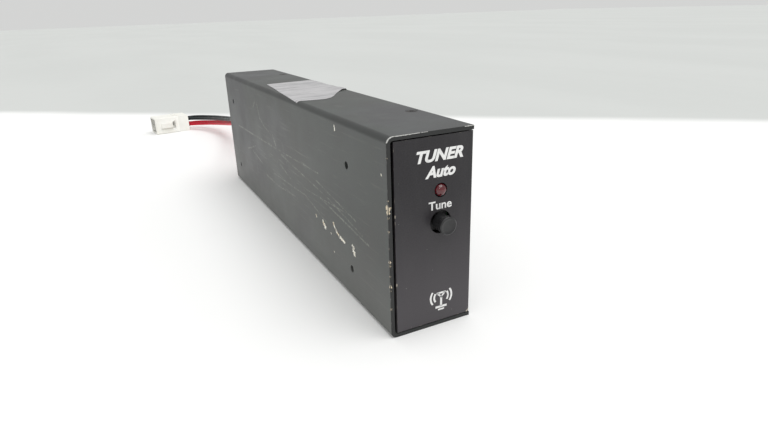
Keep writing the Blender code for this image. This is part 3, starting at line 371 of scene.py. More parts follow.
# %% Turning, cutting and softening
AIMS = {
    "+Z": Matrix.Identity(4),
    "-Z": Matrix.Rotation(pi, 4, "X"),
    "+Y": Matrix.Rotation(-pi / 2, 4, "X"),
    "-Y": Matrix.Rotation(pi / 2, 4, "X"),
    "-X": Matrix.Rotation(-pi / 2, 4, "Y"),
}


def rounded(profile, radius, steps=4):
    """The profile with its inner corners rounded by short curves."""
    points = [Vector(profile[0])]
    for before, corner, after in zip(profile, profile[1:], profile[2:]):
        corner = Vector(corner)
        back = Vector(before) - corner
        ahead = Vector(after) - corner
        start = corner + back.normalized() * min(radius, back.length * 0.45)
        end = corner + ahead.normalized() * min(radius, ahead.length * 0.45)
        for step in range(steps + 1):
            t = step / steps
            points.append(start * (1 - t) ** 2 + corner * 2 * t * (1 - t) + end * t**2)
    points.append(Vector(profile[-1]))
    return points


def outwards(mesh, weld=0.0):
    """The mesh with its normals turned outwards, and points closer than the weld joined first."""
    shape = bmesh.new()
    shape.from_mesh(mesh)
    if weld:
        bmesh.ops.remove_doubles(shape, verts=shape.verts, dist=weld)
    bmesh.ops.recalc_face_normals(shape, faces=shape.faces)
    shape.to_mesh(mesh)
    shape.free()
    return mesh


def slab(name, points):
    """A solid between two outlines with as many points each, the lower one first."""
    count = len(points) // 2
    faces = [tuple(reversed(range(count))), tuple(range(count, 2 * count))]
    faces += [(i, (i + 1) % count, count + (i + 1) % count, count + i) for i in range(count)]
    mesh = bpy.data.meshes.new(name)
    mesh.from_pydata(points, [], faces)
    return mesh


def walked(name, rings, closed):
    """A mesh from rings of points, with single points as poles, faces turned outwards."""
    mesh = bpy.data.meshes.new(name)
    points = [point for ring in rings for point in ring]
    starts = [sum(len(ring) for ring in rings[:index]) for index in range(len(rings))]
    faces = []
    pairs = list(zip(range(len(rings)), range(1, len(rings))))
    if closed:
        pairs.append((len(rings) - 1, 0))
    for one, two in pairs:
        a, b = starts[one], starts[two]
        count = max(len(rings[one]), len(rings[two]))
        for i in range(count):
            j = (i + 1) % count
            if len(rings[one]) == 1:
                faces.append((a, b + i, b + j))
            elif len(rings[two]) == 1:
                faces.append((a + i, b, a + j))
            else:
                faces.append((a + i, b + i, b + j, a + j))
    mesh.from_pydata(points, [], faces)
    return outwards(mesh)


NO_THREAD = (0.0, 0.0, 1.0, 0.0, 0.0)


def turned(name, profile, place, towards, closed=False, steps=72, thread=NO_THREAD):
    """A profile of (radius, height) points walked round its axis.

    A thread is (start, end, pitch, depth, the radius above which it is cut).
    """
    start, end, pitch, depth, above = thread
    rings = []
    for r, z in profile:
        if r < 1e-7:
            rings.append([(0.0, 0.0, z)])
            continue
        ring = []
        for i in range(steps):
            turn = i / steps
            radius = r
            if start < z < end and r > above:
                wave = abs(((z / pitch - turn) % 1.0) * 2 - 1)
                ease = min(1.0, (z - start) / pitch, (end - z) / pitch)
                radius = r - depth * ease * min(1.0, max(0.0, wave * 1.5 - 0.25))
            ring.append((radius * cos(2 * pi * turn), radius * sin(2 * pi * turn), z))
        rings.append(ring)
    mesh = walked(name, rings, closed)
    mesh.transform(Matrix.Translation(place) @ AIMS[towards])
    return mesh


def walked_plate(name, outline, low, high):
    """A flat outline of (x, y) points made solid from one height to another."""
    return outwards(slab(name, [(x, y, z) for z in (low, high) for x, y in outline]))


def in_mm(points):
    """Profile points written in millimetres."""
    return [(r * MM, z * MM) for r, z in points]


def rod(name, radius, low, high, place, towards, steps=48):
    """A plain cylinder, mostly used as a cutter."""
    return turned(name, [(0, high), (radius, high), (radius, low), (0, low)], place, towards, steps=steps)


def block(name, size, centre):
    """A plain box, mostly used as a cutter."""
    mesh = bpy.data.meshes.new(name)
    shape = bmesh.new()
    bmesh.ops.create_cube(shape, size=1.0)
    bmesh.ops.scale(shape, vec=size, verts=shape.verts)
    bmesh.ops.translate(shape, vec=centre, verts=shape.verts)
    shape.to_mesh(mesh)
    shape.free()
    return mesh


def baked(mesh, modifiers, others=()):
    """The mesh after the modifiers that a function sets up on a short-lived object."""
    things = [bpy.data.objects.new(f"{part.name}_work", part) for part in (mesh, *others)]
    for thing in things:
        SCENE.collection.objects.link(thing)
    modifiers(things[0], things[1:])
    bpy.context.view_layer.update()
    graph = bpy.context.evaluated_depsgraph_get()
    result = bpy.data.meshes.new_from_object(things[0].evaluated_get(graph))
    result.name = mesh.name
    for thing in things:
        bpy.data.objects.remove(thing, do_unlink=True)
    return result


def carved(mesh, *cutters, operation="DIFFERENCE"):
    """The mesh with the other meshes cut away from it, joined to it or kept in common with it."""

    def steps(thing, others):
        for other in others:
            step = thing.modifiers.new("cut", "BOOLEAN")
            step.operation = operation
            step.solver = "EXACT"
            step.object = other

    return baked(mesh, steps, cutters)


def softened(mesh, width, segments=2, angle=38.0):
    """The mesh with its sharp edges rounded, and the flat faces kept flat in shading."""

    def steps(thing, others):
        edge = thing.modifiers.new("edges", "BEVEL")
        edge.width = width
        edge.segments = segments
        edge.limit_method = "ANGLE"
        edge.angle_limit = radians(angle)
        edge.harden_normals = True
        edge.use_clamp_overlap = True

    mesh.shade_smooth()
    return baked(mesh, steps)


def merged(name, *meshes):
    """Several meshes as one, each still closed."""
    shape = bmesh.new()
    for mesh in meshes:
        shape.from_mesh(mesh)
    whole = bpy.data.meshes.new(name)
    shape.to_mesh(whole)
    shape.free()
    return whole


def piece(name, mesh, finish, body, stands_for=(), sharp=35.0):
    """A finished piece at the origin, shaded, riding on its body."""
    mesh.materials.clear()
    mesh.materials.append(finish)
    if sharp:
        mesh.shade_smooth()
        mesh.set_sharp_from_angle(angle=radians(sharp))
    made = bpy.data.objects.new(name, mesh)
    SCENE.collection.objects.link(made)
    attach(made, body)
    if stands_for:
        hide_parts(*stands_for)
    print(name, len(mesh.polygons), "faces")
    return made


# %% [markdown]
# ## Geometry Nodes helpers
# What repeats or follows a path is grown by a node tree with named inputs. The tree runs once on a
# short-lived object, and the result is kept as a plain mesh, so nothing depends on the tree afterwards.

# %% Trees and growing
GEOMETRY = "NodeSocketGeometry"
INTEGER = "NodeSocketInt"
MATERIAL = "NodeSocketMaterial"
OBJECT = "NodeSocketObject"


def new_tree(name, inputs):
    """A geometry tree with its named inputs, and its two end nodes."""
    tree = bpy.data.node_groups.new(name, "GeometryNodeTree")
    tree.interface.new_socket("Geometry", in_out="INPUT", socket_type=GEOMETRY)
    for label, kind in inputs:
        tree.interface.new_socket(label, in_out="INPUT", socket_type=kind)
    tree.interface.new_socket("Geometry", in_out="OUTPUT", socket_type=GEOMETRY)
    return tree, tree.nodes.new("NodeGroupInput").outputs, tree.nodes.new("NodeGroupOutput").inputs


def close_tree(tree, geometry, material, output):
    """Realize Instances and Set Material, and on to the tree's end."""
    real = add(tree, "GeometryNodeRealizeInstances", {0: geometry}).outputs[0]
    painted = add(tree, "GeometryNodeSetMaterial", {"Geometry": real, "Material": material}).outputs[0]
    tree.links.new(painted, output["Geometry"])


def grow(name, tree, start, **values):
    """Run a tree on a start mesh, and keep the result as a plain mesh."""

    def steps(thing, others):
        grown = thing.modifiers.new(tree.name, "NODES")
        grown.node_group = tree
        labels = {item.name: item.identifier for item in tree.interface.items_tree if item.in_out == "INPUT"}
        for key, value in values.items():
            grown[labels[key.replace("_", " ")]] = value

    start.name = name
    return baked(start, steps)


def line_mesh(*paths):
    """A mesh of bare edges along each path of (x, y) points."""
    mesh = bpy.data.meshes.new("path")
    points = []
    edges = []
    for path in paths:
        first = len(points)
        points += [(x, y, 0.0) for x, y in path]
        edges += [(first + i, first + i + 1) for i in range(len(path) - 1)]
    mesh.from_pydata(points, edges, [])
    return mesh


# %% Tree: a folded sheet
FOLD_TREE, f_in, f_out = new_tree("folded_sheet", [
    ("Fold Radius", FLOAT), ("Fold Steps", INTEGER), ("Sheet", FLOAT), ("Length", FLOAT),
    ("Turn", VECTOR), ("Move", VECTOR), ("Finish", MATERIAL),
])
path = add(FOLD_TREE, "GeometryNodeMeshToCurve", {"Mesh": f_in["Geometry"]}).outputs[0]
bends = {"Curve": path, "Count": f_in["Fold Steps"], "Radius": f_in["Fold Radius"]}
path = add(FOLD_TREE, "GeometryNodeFilletCurve", bends, mode="POLY").outputs[0]
path = add(FOLD_TREE, "GeometryNodeSetCurveNormal", {"Curve": path}, mode="Z_UP").outputs[0]
section = {"Width": f_in["Sheet"], "Height": f_in["Length"]}
section = add(FOLD_TREE, "GeometryNodeCurvePrimitiveQuadrilateral", section).outputs[0]
sheet = {"Curve": path, "Profile Curve": section, "Fill Caps": True}
sheet = add(FOLD_TREE, "GeometryNodeCurveToMesh", sheet).outputs[0]
placed = {"Geometry": sheet, "Translation": f_in["Move"], "Rotation": f_in["Turn"]}
close_tree(FOLD_TREE, add(FOLD_TREE, "GeometryNodeTransform", placed).outputs[0], f_in["Finish"], f_out)

# %% Tree: copies on points
COPY_TREE, c_in, c_out = new_tree("copies_on_points", [("Pattern", OBJECT), ("Finish", MATERIAL)])
pattern = add(COPY_TREE, "GeometryNodeObjectInfo", {"Object": c_in["Pattern"]}).outputs["Geometry"]
outward = add(COPY_TREE, "GeometryNodeInputNamedAttribute", {"Name": "way"}, data_type="FLOAT_VECTOR")
aimed = add(COPY_TREE, "FunctionNodeAlignRotationToVector", {"Vector": outward.outputs[0]}, axis="Z")
spread = {"Points": c_in["Geometry"], "Instance": pattern, "Rotation": aimed.outputs[0]}
spread = add(COPY_TREE, "GeometryNodeInstanceOnPoints", spread).outputs[0]
close_tree(COPY_TREE, spread, c_in["Finish"], c_out)


def copies(name, pattern_mesh, places, finish):
    """The pattern repeated at each (place, outward direction), as one plain mesh."""
    points = bpy.data.meshes.new(name)
    points.from_pydata([place for place, way in places], [], [])
    ways = points.attributes.new("way", "FLOAT_VECTOR", "POINT")
    for spot, (place, way) in zip(ways.data, places):
        spot.vector = way
    shape = bpy.data.objects.new(f"{name}_pattern", pattern_mesh)
    SCENE.collection.objects.link(shape)
    mesh = grow(name, COPY_TREE, points, Pattern=shape, Finish=finish)
    bpy.data.objects.remove(shape, do_unlink=True)
    return mesh


print("trees", FOLD_TREE.name, COPY_TREE.name)

# %% [markdown]
# ## Cover finish
# The cover is sprayed a dark greenish grey over steel. Years of sliding in and out of its bracket left long
# faint scuffs, three bright gouges low on the side, chips down the front left edge and a bare rim along the
# top front edge; that rim is partly a painted highlight of the edge. The scuffs and the bare rim are listed
# one by one and drawn with the scratch group, and the paint under them is noise at three scales, with painted
# light towards the foot of the side and painted shade along the top fold and the cut front edge. The gouges
# and chips come later, as flecks of bare steel.

# %% Marks on the cover
SIDE_GOUGES = (  # (behind the front, height) of both ends, width
    ((69.8, 26.6), (67.2, 24.5), 1.35), ((56.0, 30.4), (53.6, 27.8), 0.80),
    ((53.6, 27.8), (49.6, 26.0), 0.95), ((49.6, 26.0), (43.6, 25.4), 0.85),
    ((34.4, 26.0), (32.8, 24.0), 1.45), ((34.8, 27.2), (33.4, 26.4), 1.00),
    ((79.6, 27.2), (78.6, 26.0), 0.45), ((47.5, 77.2), (47.3, 75.2), 0.55),
    ((60.2, 24.2), (59.6, 23.8), 0.34), ((57.5, 15.6), (57.1, 15.3), 0.34),
)
SIDE_SCUFFS = (
    ((236.0, 46.3), (170.0, 47.6), 0.90), ((170.0, 47.6), (120.0, 48.8), 0.75),
    ((120.0, 48.8), (72.0, 50.4), 0.60), ((132.0, 46.6), (60.0, 41.0), 0.55),
    ((77.5, 46.2), (30.0, 40.0), 0.60), ((60.0, 41.0), (24.0, 35.6), 0.60),
    ((72.0, 38.4), (18.0, 33.4), 0.70), ((90.0, 37.0), (40.0, 40.5), 0.45),
    ((96.0, 33.5), (64.0, 27.5), 0.60), ((176.0, 70.0), (171.5, 61.0), 1.00),
    ((171.5, 61.0), (163.0, 57.6), 0.85), ((163.0, 57.6), (150.0, 55.0), 0.65),
    ((170.0, 25.4), (146.0, 24.6), 1.00), ((146.0, 24.6), (112.0, 27.4), 0.75),
    ((150.0, 31.0), (96.0, 33.0), 0.60), ((150.0, 58.0), (141.0, 50.0), 1.30),
    ((205.0, 36.0), (176.0, 31.0), 0.80), ((186.0, 66.0), (178.0, 72.0), 0.60),
    ((140.0, 41.0), (118.0, 36.0), 0.90), ((128.0, 54.0), (122.0, 44.0), 0.70),
    ((216.0, 33.0), (190.0, 40.0), 0.60),
)
SCUFF_SPREAD = 1.35
EDGE_CHIPS = (  # behind the front, height, radius, all at the left front edge
    (0.8, 54.8, 1.20), (0.6, 53.2, 0.95), (0.2, 50.9, 0.55), (0.1, 73.4, 0.34), (4.6, 66.4, 0.50),
    (0.2, 45.6, 0.48), (0.2, 33.4, 0.66), (0.1, 31.8, 0.45), (0.2, 23.0, 0.72), (0.1, 21.2, 0.46),
    (0.2, 13.1, 0.52), (0.1, 38.8, 0.34), (0.1, 57.6, 0.34), (0.2, 27.4, 0.32),
)
# Painted highlight: these bare stretches of the top front edge are partly a painted highlight of that edge.
RIM_WEAR_AND_HIGHLIGHT = (  # x of both ends of a bare stretch on the top front edge, radius
    (-16.8, -9.0, 0.42), (-9.4, -5.0, 0.30), (-4.2, -1.8, 0.24), (14.4, 18.3, 0.38),
)


def side_spot(behind, height):
    """A place on the cover's left face."""
    return Vector((LEFT, FRONT + behind * MM, height * MM))


def marks(tree, place, ragged, spots):
    """The strongest of several scratch masks."""
    strongest = 0.0
    for start, end, width in spots:
        mask = use(tree, SCRATCH, Place=place, Start=start, End=end, Width=width * MM, Ragged=ragged)["Mask"]
        strongest = sums(tree, "MAXIMUM", strongest, mask)
    return strongest


# %% Cover paint
COVER_DARK = (0.046, 0.054, 0.049)
COVER_LIGHT = (0.078, 0.079, 0.076)
COVER_DEEP = (0.034, 0.038, 0.035)


def cover_paint():
    """Dark greenish grey paint with its scuffs, chips and bare rims, the rims partly a painted highlight,
    with painted light towards the foot and painted shade along the fold and the cut front edge.
    """
    material, tree, shader, place = new_material("cover_paint")
    grain = use(tree, GRAIN, Place=place, Grains=2400.0, Patches=38.0)
    ragged = fade(tree, speckle(tree, place, 1100.0, 3.0, 0.6), 0.35, 0.80, 0.0, 0.9)
    # The bare rim: worn steel that is partly a painted highlight along the top front edge and round its left
    # corner.
    rims = [(Vector((a * MM, FRONT, TOP)), Vector((b * MM, FRONT, TOP)), size) for a, b, size in RIM_WEAR_AND_HIGHLIGHT]
    low_end = Vector((LEFT + 0.10 * MM, FRONT, TOP - 1.9 * MM))
    bend = Vector((LEFT + 0.75 * MM, FRONT, TOP - 0.75 * MM))
    corner = [(low_end, bend, 0.52), (bend, Vector((-16.4 * MM, FRONT, TOP)), 0.50)]
    rim = fade(tree, marks(tree, place, sums(tree, "MULTIPLY", ragged, 0.5), rims + corner), 0.10, 0.45)
    wide = fade(tree, speckle(tree, place, 260.0, 3.0), 0.50, 0.78, 0.0, 1.0)
    edge = use(tree, EDGES, Place=place, Low=COVER_LOW, High=COVER_HIGH, Reach=0.42 * MM, Ragged=wide)
    bare = sums(tree, "MAXIMUM", rim, sums(tree, "MULTIPLY", edge["Mask"], 0.35))
    scuffs = [(side_spot(*a), side_spot(*b), SCUFF_SPREAD * width) for a, b, width in SIDE_SCUFFS]
    scuffs = marks(tree, place, ragged, scuffs)
    broken = fade(tree, speckle(tree, place, 190.0, 4.0, 0.7), 0.36, 0.62)
    scuffs = sums(tree, "MULTIPLY", scuffs, broken)
    rubbed = 0.0
    for lean, along, across in ((-7.0, 22.0, 620.0), (-32.0, 34.0, 520.0), (24.0, 40.0, 480.0)):
        lines = stretched(tree, place, (60.0, along, across), (radians(lean), 0.0, 0.0))
        rubbed = sums(tree, "MAXIMUM", fade(tree, speckle(tree, lines, 1.0, 4.0, 0.6), 0.60, 0.74), rubbed)
    worn = vectors(tree, "SUBTRACT", place, side_spot(128.0, 42.0))
    worn = vectors(tree, "MULTIPLY", worn, (20.0, 11.0, 34.0))
    worn = fade(tree, vectors(tree, "LENGTH", worn, result="Value"), 1.0, 0.15)
    rubbed = sums(tree, "MULTIPLY", rubbed, sums(tree, "ADD", sums(tree, "MULTIPLY", worn, 0.8), 0.25))
    paint = blend(tree, fade(tree, grain["Broad"], 0.3, 0.7), COVER_DARK, COVER_LIGHT)
    paint = blend(tree, fade(tree, grain["Fine"], 0.35, 0.7, 0.0, 0.35), paint, COVER_DEEP)
    cool = fade(tree, speckle(tree, place, 16.0, 2.0), 0.42, 0.60, 0.0, 0.5)
    paint = blend(tree, cool, paint, (0.066, 0.066, 0.074))
    axes = add(tree, "ShaderNodeSeparateXYZ", {0: place}).outputs
    # Painted light: the side is lightened towards its foot to make up for the shade near the floor.
    painted_foot_light = fade(tree, axes["Z"], 42.0 * MM, 6.0 * MM, 0.0, 0.45)
    paint = blend(tree, painted_foot_light, paint, (0.165, 0.168, 0.160))
    paint = blend(tree, sums(tree, "MULTIPLY", worn, 0.22), paint, (0.17, 0.175, 0.165))
    paint = blend(tree, sums(tree, "MULTIPLY", rubbed, 0.55), paint, (0.22, 0.23, 0.20))
    paint = blend(tree, sums(tree, "MULTIPLY", scuffs, 0.80), paint, (0.25, 0.26, 0.22))
    # Painted shade: the paint is darkened to near black along the rounded top fold and along the cut front
    # edge.
    fold = sums(tree, "ADD", sums(tree, "SUBTRACT", axes["X"], LEFT), sums(tree, "SUBTRACT", TOP, axes["Z"]))
    fold = fade(tree, fold, 2.9 * MM, 1.7 * MM, 0.0, 0.55)
    cut_edge = fade(tree, axes["Y"], FRONT + 0.45 * MM, FRONT + 0.20 * MM, 0.0, 0.95)
    paint = blend(tree, sums(tree, "MAXIMUM", fold, cut_edge), paint, (0.008, 0.009, 0.009))
    metal = blend(tree, fade(tree, ragged, 0.2, 0.9), (0.56, 0.56, 0.54), (0.40, 0.38, 0.34))
    feed(
        tree, shader,
        Base_Color=blend(tree, bare, paint, metal),
        Metallic=sums(tree, "MULTIPLY", bare, 0.7),
        Roughness=fade(tree, grain["Broad"], 0.25, 0.75, 0.42, 0.56),
    )
    bumped(tree, shader, grain["Fine"], 0.03 * MM, 0.55)
    return material


COVER_PAINT = cover_paint()
print(COVER_PAINT.name, len(COVER_PAINT.node_tree.nodes), "nodes")

# %% [markdown]
# ## Cover
# The cover is one sheet, bent twice: top, left side and bottom. Its shape follows a rule, a path with rounded
# folds swept along the case, so a node tree makes it. The holes are cut afterwards: four plain ones in the
# side for the bracket, and four sinks for the cover screws.

# %% Cover geometry
MOUNT_HOLE = 1.65 * MM
half = SHEET / 2
cover_path = line_mesh([
    (RIGHT, BOTTOM + half), (LEFT + half, BOTTOM + half), (LEFT + half, TOP - half), (RIGHT, TOP - half),
])
cover_mesh = grow(
    "case_cover", FOLD_TREE, cover_path, Fold_Radius=COVER_FOLD - half, Fold_Steps=14, Sheet=SHEET,
    Length=REAR - FRONT, Turn=(pi / 2, 0.0, 0.0), Move=(0.0, (FRONT + REAR) / 2, 0.0), Finish=COVER_PAINT,
)
holes = [
    rod("mount_hole", MOUNT_HOLE, -4 * MM, 4 * MM, (LEFT, y, z), "-X")
    for y in (FRONT + 36.8 * MM, REAR - 18.5 * MM) for z in (TOP - 18.5 * MM, BOTTOM + 15.2 * MM)
]
SCREWS = {}
for name in ("top_front", "top_rear", "bottom_front", "bottom_rear"):
    face, way = (TOP, "+Z") if "top" in name else (BOTTOM, "-Z")
    spot = middle(f"cover_screw_{name}")
    SCREWS[name] = (Vector((spot.x, spot.y, face)), way)
sink = in_mm([(0, 0.3), (3.2, 0.3), (1.55, -1.4), (1.55, -3.4), (0, -3.4)])
sinks = [turned(f"sink_{name}", sink, place, way, steps=48) for name, (place, way) in SCREWS.items()]
cover_mesh = softened(carved(cover_mesh, *holes, *sinks), 0.22 * MM, 3)
piece("case_cover", cover_mesh, COVER_PAINT, "case", ["cover"], sharp=None)
print("holes in the cover", len(holes) + len(sinks))

# %% [markdown]
# ## Bare spots
# Where the paint has been knocked off, the steel shows. The gouges on the side and the chips along the front
# left edge are thin ragged flecks of their own, each an irregular outline round a short line. A chip on the
# edge shows on both faces, so it is made of two flecks.


# %% Flecks of bare steel
def bare_steel():
    """Scraped steel: bright in the middle, with brown primer in places."""
    material, tree, shader, place = new_material("bare_steel")
    grain = use(tree, GRAIN, Place=place, Grains=3000.0, Patches=520.0)
    brown = fade(tree, grain["Broad"], 0.53, 0.66)
    near_edge = add(tree, "ShaderNodeSeparateXYZ", {0: place}).outputs["Y"]
    brown = sums(tree, "MAXIMUM", brown, fade(tree, near_edge, FRONT + 6 * MM, FRONT + 2 * MM, 0.0, 0.6))
    tone = blend(tree, brown, (0.90, 0.87, 0.77), (0.56, 0.42, 0.22))
    tone = blend(tree, fade(tree, grain["Fine"], 0.60, 0.85, 0.0, 0.4), tone, (0.40, 0.34, 0.26))
    feed(tree, shader, Base_Color=tone, Metallic=fade(tree, brown, 0.0, 1.0, 0.15, 0.0),
         Roughness=fade(tree, grain["Fine"], 0.3, 0.7, 0.35, 0.55))
    bumped(tree, shader, grain["Fine"], 0.04 * MM, 0.7)
    return material


FLECK_SINK = -0.03  # millimetres, from the paint's surface
FLECK_RISE = 0.02
EDGE_ROOM = 0.25  # millimetres that a fleck keeps from the edge


def fleck(start, end, width, face):
    """A thin ragged fleck round a short line of (across, up) points on one face, in millimetres."""
    start, end = Vector(start), Vector(end)
    aim = atan2(end.y - start.y, end.x - start.x)
    steps = max(1, round((end - start).length / 0.3))
    walk = [(start.lerp(end, i / steps), aim - pi / 2) for i in range(steps)]
    walk += [(end, aim - pi / 2 + pi * i / 8) for i in range(8)]
    walk += [(end.lerp(start, i / steps), aim + pi / 2) for i in range(steps)]
    walk += [(start, aim + pi / 2 + pi * i / 8) for i in range(8)]
    outline = []
    for index, (base, turn) in enumerate(walk):
        way = Vector((cos(turn), sin(turn)))
        rough = noise.noise(Vector((base.x * 2 + way.x, base.y * 2 + way.y, index * 0.45)))
        spot = base + way * width * max(0.25, 0.70 + 0.9 * rough)
        outline.append((max(spot.x, EDGE_ROOM), spot.y))
    mesh = slab("fleck", [face(x, y, depth) for depth in (FLECK_SINK, FLECK_RISE) for x, y in outline])
    shape = bmesh.new()
    shape.from_mesh(mesh)
    bmesh.ops.remove_doubles(shape, verts=shape.verts, dist=1e-7)
    bmesh.ops.triangulate(shape, faces=shape.faces)
    bmesh.ops.recalc_face_normals(shape, faces=shape.faces)
    shape.to_mesh(mesh)
    shape.free()
    return mesh


def on_side(across, up, depth):
    """A place on the left face, counted from the front."""
    return Vector((LEFT + depth * MM, FRONT + across * MM, up * MM))


def on_cut_edge(across, up, depth):
    """A place on the sheet's cut front edge, counted from the left."""
    return Vector((LEFT + across * MM, FRONT + depth * MM, up * MM))


flecks = [fleck(start, end, width, on_side) for start, end, width in SIDE_GOUGES]
flecks += [fleck((y, z), (y, z + 0.15), size, on_side) for y, z, size in EDGE_CHIPS]
flecks += [fleck((0.1, z), (0.1, z + 0.15), size, on_cut_edge) for y, z, size in EDGE_CHIPS if y < 1]
piece("bare_spots", merged("bare_spots", *flecks), bare_steel(), "case", sharp=None)

# %% [markdown]
# ## Black panel finish
# The chassis is black: a satin powder coat with a fine orange-peel skin. Light specks of dust sit on it, the
# front carries faint wipe marks and a painted reflection of the bright floor that lightens it towards its
# foot, and the paint has rubbed through at a few corners.

# %% Panel paint
def panel_paint():
    """Satin black powder coat with specks, smears, rubbed corners and painted floor light towards the foot.
    """
    material, tree, shader, place = new_material("panel_paint", Specular_IOR_Level=0.32)
    grain = use(tree, GRAIN, Place=place, Grains=1900.0, Patches=70.0)
    specks = use(tree, NICKS, Place=place, Cells=420.0, Size=0.10, Share=0.16)["Mask"]
    ragged = fade(tree, speckle(tree, place, 320.0, 3.0), 0.52, 0.80, 0.0, 1.0)
    edge = use(tree, EDGES, Place=place, Low=PANEL_LOW, High=PANEL_HIGH, Reach=0.35 * MM, Ragged=ragged)
    chip_spots = [
        (Vector((PANEL_LOW.x, FRONT, 23.4 * MM)), Vector((PANEL_LOW.x, FRONT, 22.8 * MM)), 0.55),
        (Vector((PANEL_LOW.x, FRONT, 51.5 * MM)), Vector((PANEL_LOW.x, FRONT, 50.8 * MM)), 0.35),
        (Vector((RIGHT, FRONT, 3.4 * MM)), Vector((RIGHT - 1.4 * MM, FRONT, 2.2 * MM)), 0.45),
    ]
    chips = marks(tree, place, ragged, chip_spots)
    bare = sums(tree, "MAXIMUM", sums(tree, "MULTIPLY", edge["Mask"], 0.5), chips)
    smear = stretched(tree, place, (90.0, 30.0, 26.0), (0.0, radians(14.0), 0.0))
    smear = fade(tree, speckle(tree, smear, 1.0, 4.0, 0.6), 0.45, 0.75)
    paint = blend(tree, fade(tree, grain["Fine"], 0.3, 0.7), (0.015, 0.0135, 0.016), (0.024, 0.022, 0.025))
    height = add(tree, "ShaderNodeSeparateXYZ", {0: place}).outputs["Z"]
    # Painted light: the front is lightened towards its foot, a painted reflection of the bright floor in
    # front of it.
    dust = fade(tree, height, 66.0 * MM, 2.0 * MM, 0.0, 0.60)
    paint = blend(tree, dust, paint, (0.096, 0.088, 0.096))
    paint = blend(tree, sums(tree, "MULTIPLY", smear, 0.16), paint, (0.075, 0.074, 0.074))
    paint = blend(tree, sums(tree, "MULTIPLY", specks, 0.75), paint, (0.34, 0.34, 0.32))
    feed(
        tree, shader,
        Base_Color=blend(tree, bare, paint, (0.62, 0.56, 0.46)),
        Metallic=sums(tree, "MULTIPLY", bare, 0.7),
        Roughness=fade(tree, smear, 0.0, 1.0, 0.34, 0.46),
    )
    bumped(tree, shader, sums(tree, "SUBTRACT", grain["Fine"], bare), 0.05 * MM, 0.40)
    return material


PANEL_PAINT = panel_paint()
print(PANEL_PAINT.name, len(PANEL_PAINT.node_tree.nodes), "nodes")

# %% [markdown]
# ## Chassis
# The same folded-sheet tree makes the chassis's right wall with its screw flanges. The two end panels, which
# wrap a little way round the right side, are flat outlines made solid. The three sheets are joined, then
# drilled for the button, the lamp, the rear fittings and the cover screws.

# %% Chassis geometry
CORNER = 0.9 * MM
LEG = 6 * MM
FLANGE = 10 * MM


def bent_end(name, face, inwards):
    """An end panel with its short leg round the right side, bent tight at the corner."""
    path = [(PANEL_LOW.x, 0.0)]
    for step in range(9):
        turn = pi / 2 * step / 8
        path.append((RIGHT - CORNER + CORNER * sin(turn), CORNER - CORNER * cos(turn)))
    path += [(RIGHT, LEG), (RIGHT - PANEL_SHEET, LEG), (RIGHT - PANEL_SHEET, PANEL_SHEET)]
    path.append((PANEL_LOW.x, PANEL_SHEET))
    path = [(x, face + inwards * depth) for x, depth in path]
    return walked_plate(name, path, PANEL_LOW.z, PANEL_HIGH.z)


half = PANEL_SHEET / 2
flange_x, wall_x = RIGHT - FLANGE, RIGHT - half
low_z, high_z = PANEL_LOW.z + half, PANEL_HIGH.z - half
side_path = line_mesh([(flange_x, high_z), (wall_x, high_z), (wall_x, low_z), (flange_x, low_z)])
side_wall = grow(
    "side_wall", FOLD_TREE, side_path, Fold_Radius=PANEL_FOLD - half, Fold_Steps=10, Sheet=PANEL_SHEET,
    Length=REAR - FRONT - 10 * MM, Turn=(pi / 2, 0.0, 0.0), Move=(0.0, (FRONT + REAR) / 2, 0.0),
    Finish=PANEL_PAINT,
)
ends = [bent_end("front_panel", FRONT, 1), bent_end("rear_panel", REAR, -1)]
SOCKETS = {}
for name in ("antenna_socket", "radio_socket"):
    SOCKETS[name] = Vector((1.0 * MM, REAR, middle(f"{name}_nut").z))
JACK = Vector((middle("control_jack").x, REAR, middle("control_jack").z))
STUD = Vector((middle("earth_stud").x, REAR, middle("earth_stud").z))
GROMMET.y = REAR
panel_holes = [  # place, face, radius in millimetres, way
    (BUTTON, FRONT, 4.7, "-Y"), (LAMP, FRONT, 2.8, "-Y"), (JACK, REAR, 5.2, "+Y"), (STUD, REAR, 2.2, "+Y"),
    (GROMMET, REAR, 5.5, "+Y"),
]
panel_holes += [(place, REAR, 8.2, "+Y") for place in SOCKETS.values()]
drills = [
    rod(f"drill_{i}", r * MM, -3 * MM, 3 * MM, (place.x, y, place.z), way)
    for i, (place, y, r, way) in enumerate(panel_holes)
]
drills += [
    rod(f"flange_drill_{name}", 1.55 * MM, -5 * MM, 0.0, place, way, 24)
    for name, (place, way) in SCREWS.items()
]
panels = carved(side_wall, *ends, operation="UNION")
panels = softened(carved(panels, *drills), 0.16 * MM, 3)
piece("chassis_panels", panels, PANEL_PAINT, "case", ["chassis"], sharp=None)

# %% [markdown]
# ## White print
# The front carries white screen-printed words and a small mark. They are text curves turned into thin
# meshes, so they stay crisp at any size. The two title words and the word over the button are plain generic
# ones, and the mark is a schematic aerial with waves on both sides.


# %% Ink
def print_ink():
    """Screen-print ink: a warm white film with thin spots."""
    material, tree, shader, place = new_material("print_ink")
    grain = use(tree, GRAIN, Place=place, Grains=5200.0, Patches=420.0)
    thin = fade(tree, grain["Broad"], 0.30, 0.48, 0.35, 0.0)
    ink = blend(tree, thin, (0.83, 0.83, 0.82), (0.34, 0.34, 0.35))
    ink = blend(tree, fade(tree, grain["Fine"], 0.4, 0.7, 0.0, 0.25), ink, (0.60, 0.60, 0.60))
    feed(tree, shader, Base_Color=ink, Roughness=fade(tree, grain["Fine"], 0.3, 0.7, 0.42, 0.58))
    bumped(tree, shader, grain["Fine"], 0.02 * MM, 0.3)
    return material


PRINT_INK = print_ink()
INK_LIFT = 0.04 * MM


